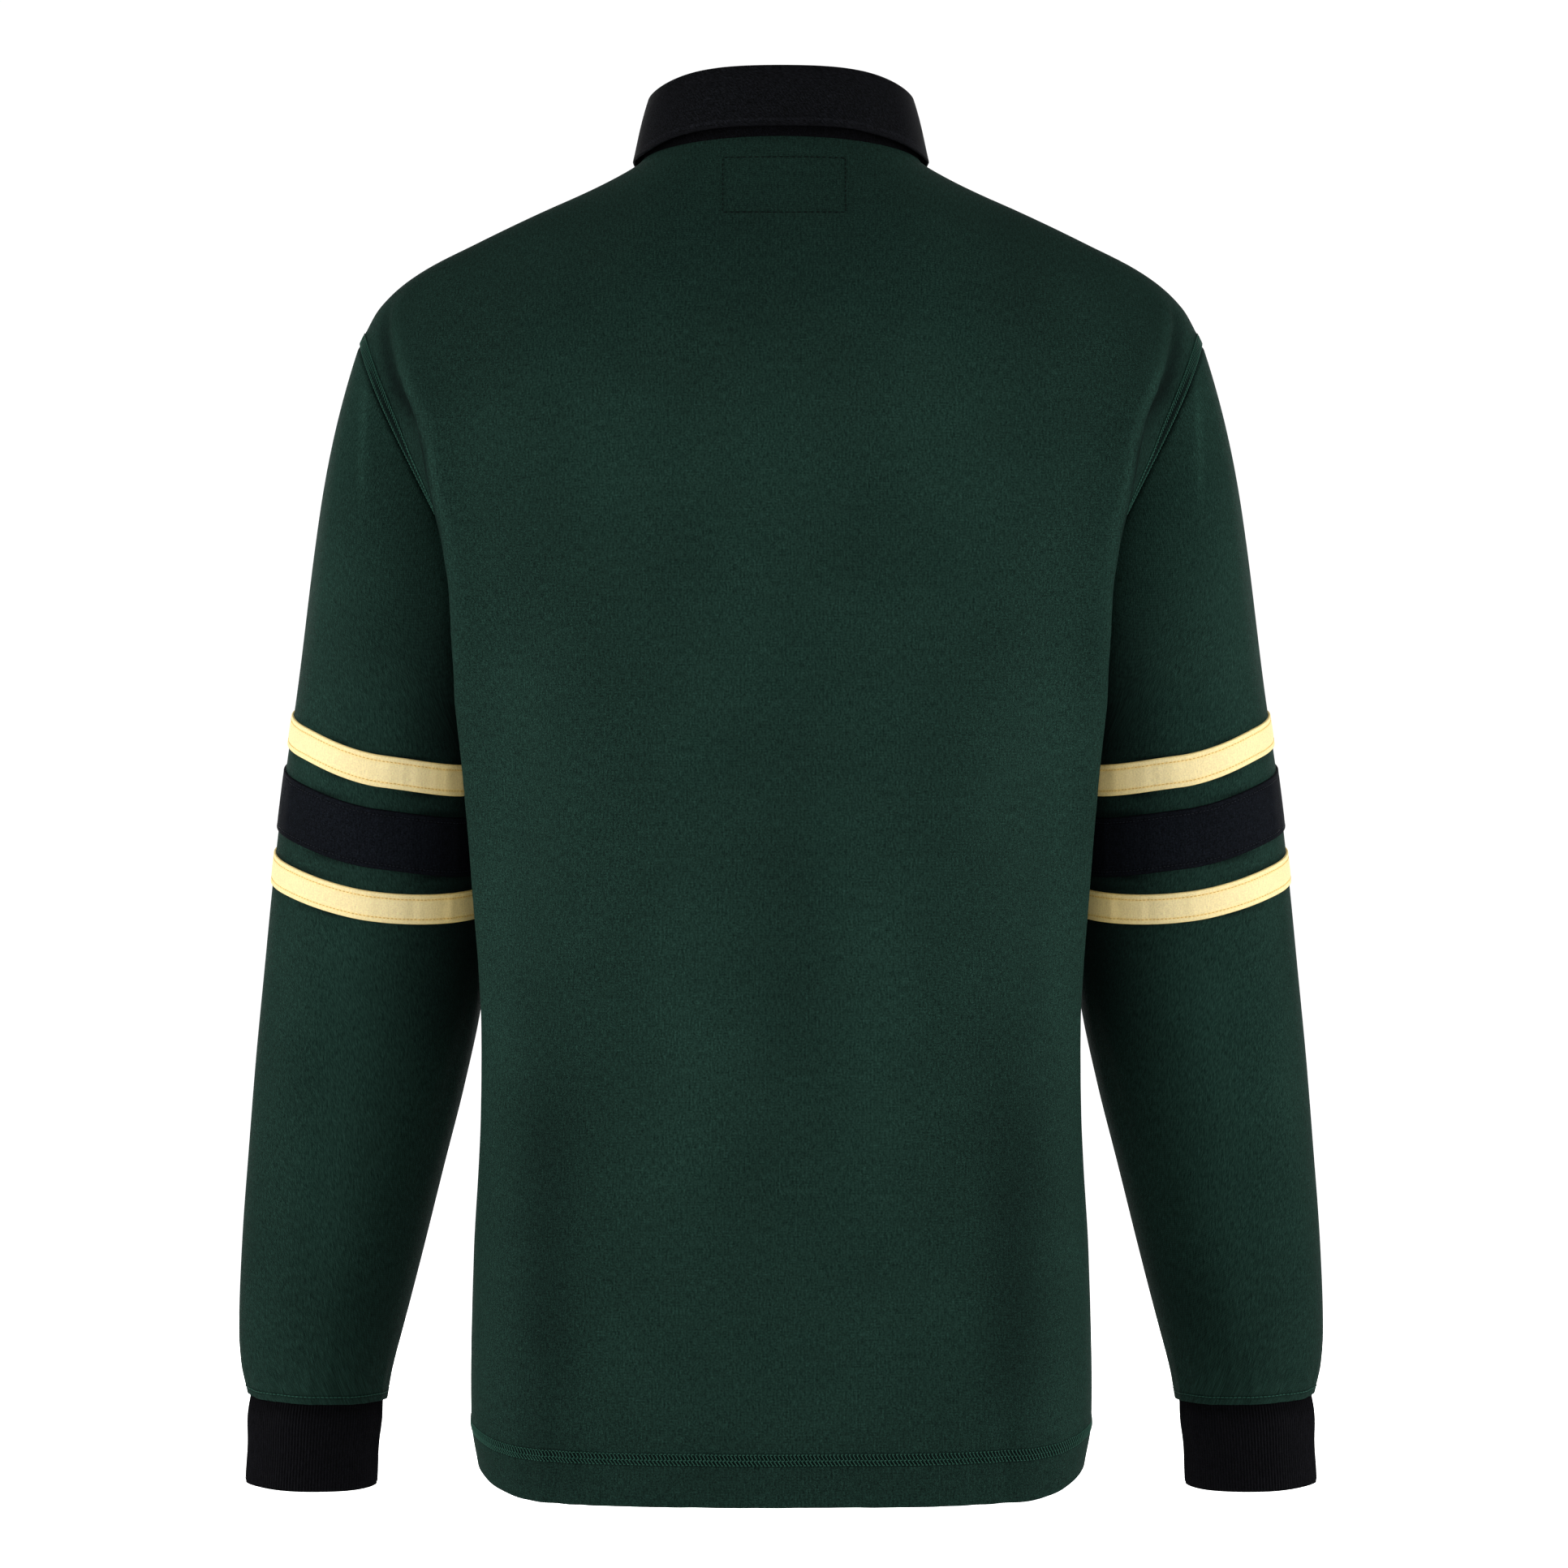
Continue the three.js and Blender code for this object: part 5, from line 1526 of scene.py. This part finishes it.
def rubber_material():
    material = bpy.data.materials.new("button_rubber")
    n = Nodes(material)
    place = n.add("ShaderNodeTexCoord").outputs["Object"]
    grain = noise(n, 1500.0, 3.0, place)
    scaled = n.add("ShaderNodeVectorMath", {"operation": "SCALE"}, i0=linear(34, 35, 37)[:3])
    n.put(scaled, "Scale", uneven(n, noise(n, 140.0, 3.0, place), 0.15))
    bump = n.add("ShaderNodeBump", Strength=0.4, Distance=0.05 * MM, Height=grain)
    surface = n.add(
        "ShaderNodeBsdfPrincipled",
        Base_Color=scaled.outputs[0],
        Roughness=0.55,
        Specular_IOR_Level=0.4,
        Normal=bump.outputs[0],
    )
    n.add("ShaderNodeOutputMaterial", Surface=surface.outputs[0])
    return material


GREEN = linear(26, 48, 41)
YELLOW = linear(253, 233, 176)
NAVY = linear(14, 17, 22)
COLLAR = linear(15, 16, 19)
RIB = linear(16, 16, 19)
# Colours that the painted shade darkens towards: grey on the dark cloths, ochre on the yellow
DARK_SHADE_TINT = (0.22, 0.22, 0.24)
OCHRE_SHADE_TINT = (1.0, 0.84, 0.42)


# Name, colour, pattern, relief, stitch size, contrast, unevenness, tint of the painted shade in seams and folds, and
# fuzz of each cloth
CLOTHS = {
    "green_jersey": ("green_jersey_knit", GREEN, "jersey", 0.28, (1.1, 0.9), 0.75, 0.95, DARK_SHADE_TINT, 0.015),
    "yellow_jersey": ("yellow_jersey_knit", YELLOW, "jersey", 0.12, (1.0, 0.9), 0.05, 0.16, OCHRE_SHADE_TINT),
    "navy_jersey": ("navy_jersey_knit", NAVY, "jersey", 0.14, (1.0, 0.9), 0.6, 1.1, DARK_SHADE_TINT),
    "collar_twill": ("collar_twill_weave", COLLAR, "twill", 0.1, (0.8, 0.8), 0.55, 1.6, DARK_SHADE_TINT),
    "rib_knit": ("cuff_rib_knit", RIB, "jersey", 0.12, (0.85, 0.8), 0.5, 0.9, DARK_SHADE_TINT),
}
LOOKS = {slot: cloth_material(*cloth) for slot, cloth in CLOTHS.items()}
THREADS = {
    "green_jersey": thread_material("green_thread", linear(42, 78, 66), 0.05),
    "yellow_jersey": thread_material("yellow_thread", linear(226, 184, 98)),
    "navy_jersey": thread_material("navy_thread", linear(22, 25, 31), 0.1),
    "collar_twill": thread_material("collar_thread", linear(40, 41, 48), 0.1),
}
DARK_THREAD = thread_material("dark_green_thread", linear(7, 15, 13), 0.05)


def dress(piece, slot, material, *nodes):
    """Gives a piece its material and its body, and hides the CAD nodes that it stands for. slot is not used."""
    piece.data.materials.clear()
    piece.data.materials.append(material)
    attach(piece, "root")
    if nodes:
        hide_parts(*nodes)
    return piece


def left_and_right(left, slot, name, node):
    """Dresses a left piece and its mirror image, and returns both."""
    right = mirror(left, name + "_right")
    for piece, hand in ((left, "left"), (right, "right")):
        dress(piece, slot, LOOKS[slot], f"{node}_{hand}")
    return left, right


# The camera stands where the photograph's did, behind the shirt
def make_camera():
    data = bpy.data.cameras.new("photo_camera")
    data.sensor_fit = "HORIZONTAL"
    data.sensor_width = 36
    distance, frame_width = 3.0, 0.8694
    data.lens = data.sensor_width * distance / frame_width
    data.clip_end = 60
    camera = bpy.data.objects.new("photo_camera", data)
    camera.location = (-0.00165, distance, -0.339)
    camera.rotation_euler = (PI / 2, 0, PI)
    bpy.context.scene.collection.objects.link(camera)
    bpy.context.scene.camera = camera


def area_light(name, place, size, power, target=(0, 0, -0.35)):
    data = bpy.data.lights.new(name, "AREA")
    data.shape = "RECTANGLE"
    data.size, data.size_y = size
    data.energy = power
    ob = bpy.data.objects.new(name, data)
    direction = np.array(target) - np.array(place)
    ob.location = place
    ob.rotation_euler = Vector(direction).to_track_quat("-Z", "Y").to_euler()
    bpy.context.scene.collection.objects.link(ob)


# Softboxes: two that rake across the back, a fill over the camera and two before the shirt
LIGHTS = table(
    "x y z width height power",
    (2.95, 0.85, -0.1, 1.2, 2.4, 76),
    (-2.95, 0.85, -0.1, 1.2, 2.4, 76),
    (0, 3.6, 0.1, 2.4, 1.4, 40),
    (1.2, -3.2, 0.1, 1.6, 1.8, 62),
    (-1.2, -3.2, 0.1, 1.6, 1.8, 62),
)
ROOM_LIGHT = 0.16


def make_studio():
    scene = bpy.context.scene
    scene.view_settings.view_transform = "Standard"
    scene.world = white_world()
    for k in range(len(LIGHTS["x"])):
        x, y, z, width, height, power = (float(column[k]) for column in LIGHTS.values())
        area_light(f"softbox_{k + 1}", (x, y, z), (width, height), power)
    floor = floor_mesh()
    floor.data.materials.append(floor_material())


def white_world():
    """A white background that gives the shirt only a soft fill."""
    world = bpy.data.worlds.new("studio")
    n = Nodes(world)
    seen = n.add("ShaderNodeLightPath").outputs["Is Camera Ray"]
    background = n.add("ShaderNodeBackground", Color=(1, 1, 1, 1), Strength=span(n, seen, ROOM_LIGHT, 1.05))
    n.add("ShaderNodeOutputWorld", Surface=background.outputs[0])
    return world


def floor_material():
    """Pale floor that blends into the background."""
    material = bpy.data.materials.new("pale_floor")
    n = Nodes(material)
    seen = n.add("ShaderNodeLightPath").outputs["Is Camera Ray"]
    surface = n.add(
        "ShaderNodeBsdfPrincipled",
        Base_Color=(0.8, 0.8, 0.8, 1),
        Roughness=0.9,
        Emission_Color=(1, 1, 1, 1),
        Emission_Strength=span(n, seen, 0.0, 1.0),
    )
    n.add("ShaderNodeOutputMaterial", Surface=surface.outputs[0])
    return material


def floor_mesh():
    half, z = 9000.0, -980.0
    points = np.array([(-half, -half, z), (half, -half, z), (half, half, z), (-half, half, z)])
    return quad_mesh("floor", points, np.array([[0, 1, 2, 3]]))


make_camera()

back = dress(back_panel(), "green_jersey", LOOKS["green_jersey"], "back_panel")
front = dress(front_panel(), "green_jersey", LOOKS["green_jersey"], "front_panel")
sleeves = left_and_right(sleeve(), "green_jersey", "sleeve_cloth", "sleeve")
BAND_SLOTS = {"band_upper": "yellow_jersey", "band_middle": "navy_jersey", "band_lower": "yellow_jersey"}
bands = {name: left_and_right(band(name), slot, name + "_cloth", name) for name, slot in BAND_SLOTS.items()}
cuffs = left_and_right(cuff(), "rib_knit", "cuff_cloth", "cuff")
stand = dress(collar_stand(), "collar_twill", LOOKS["collar_twill"], "collar_stand")
leaf = dress(collar_leaf(), "collar_twill", LOOKS["collar_twill"], "collar_leaf")
placket_top = dress(
    placket_strip("placket_top_cloth", SEAM_GAP), "green_jersey", LOOKS["green_jersey"], "placket_top"
)
placket_under = dress(
    placket_strip("placket_under_cloth", -2 * CLOTH - SEAM_GAP), "green_jersey", LOOKS["green_jersey"], "placket_under"
)
rubber = rubber_material()
for number in (1, 2, 3):
    dress(button(number), "rubber", rubber, f"button_{number}")

body_threads = armhole_stitches() + hem_stitches() + cuff_row_stitches() + placket_stitches()
dress(joined_threads("green_stitching", body_threads), "green_jersey", THREADS["green_jersey"])
dress(joined_threads("patch_stitching", patch_stitches()), "green_jersey", DARK_THREAD)
yellow_threads = band_stitches("band_upper") + band_stitches("band_lower")
dress(joined_threads("yellow_stitching", yellow_threads), "yellow_jersey", THREADS["yellow_jersey"])
dress(joined_threads("navy_stitching", band_stitches("band_middle")), "navy_jersey", THREADS["navy_jersey"])
dress(joined_threads("collar_stitching", collar_stitches()), "collar_twill", THREADS["collar_twill"])


make_studio()
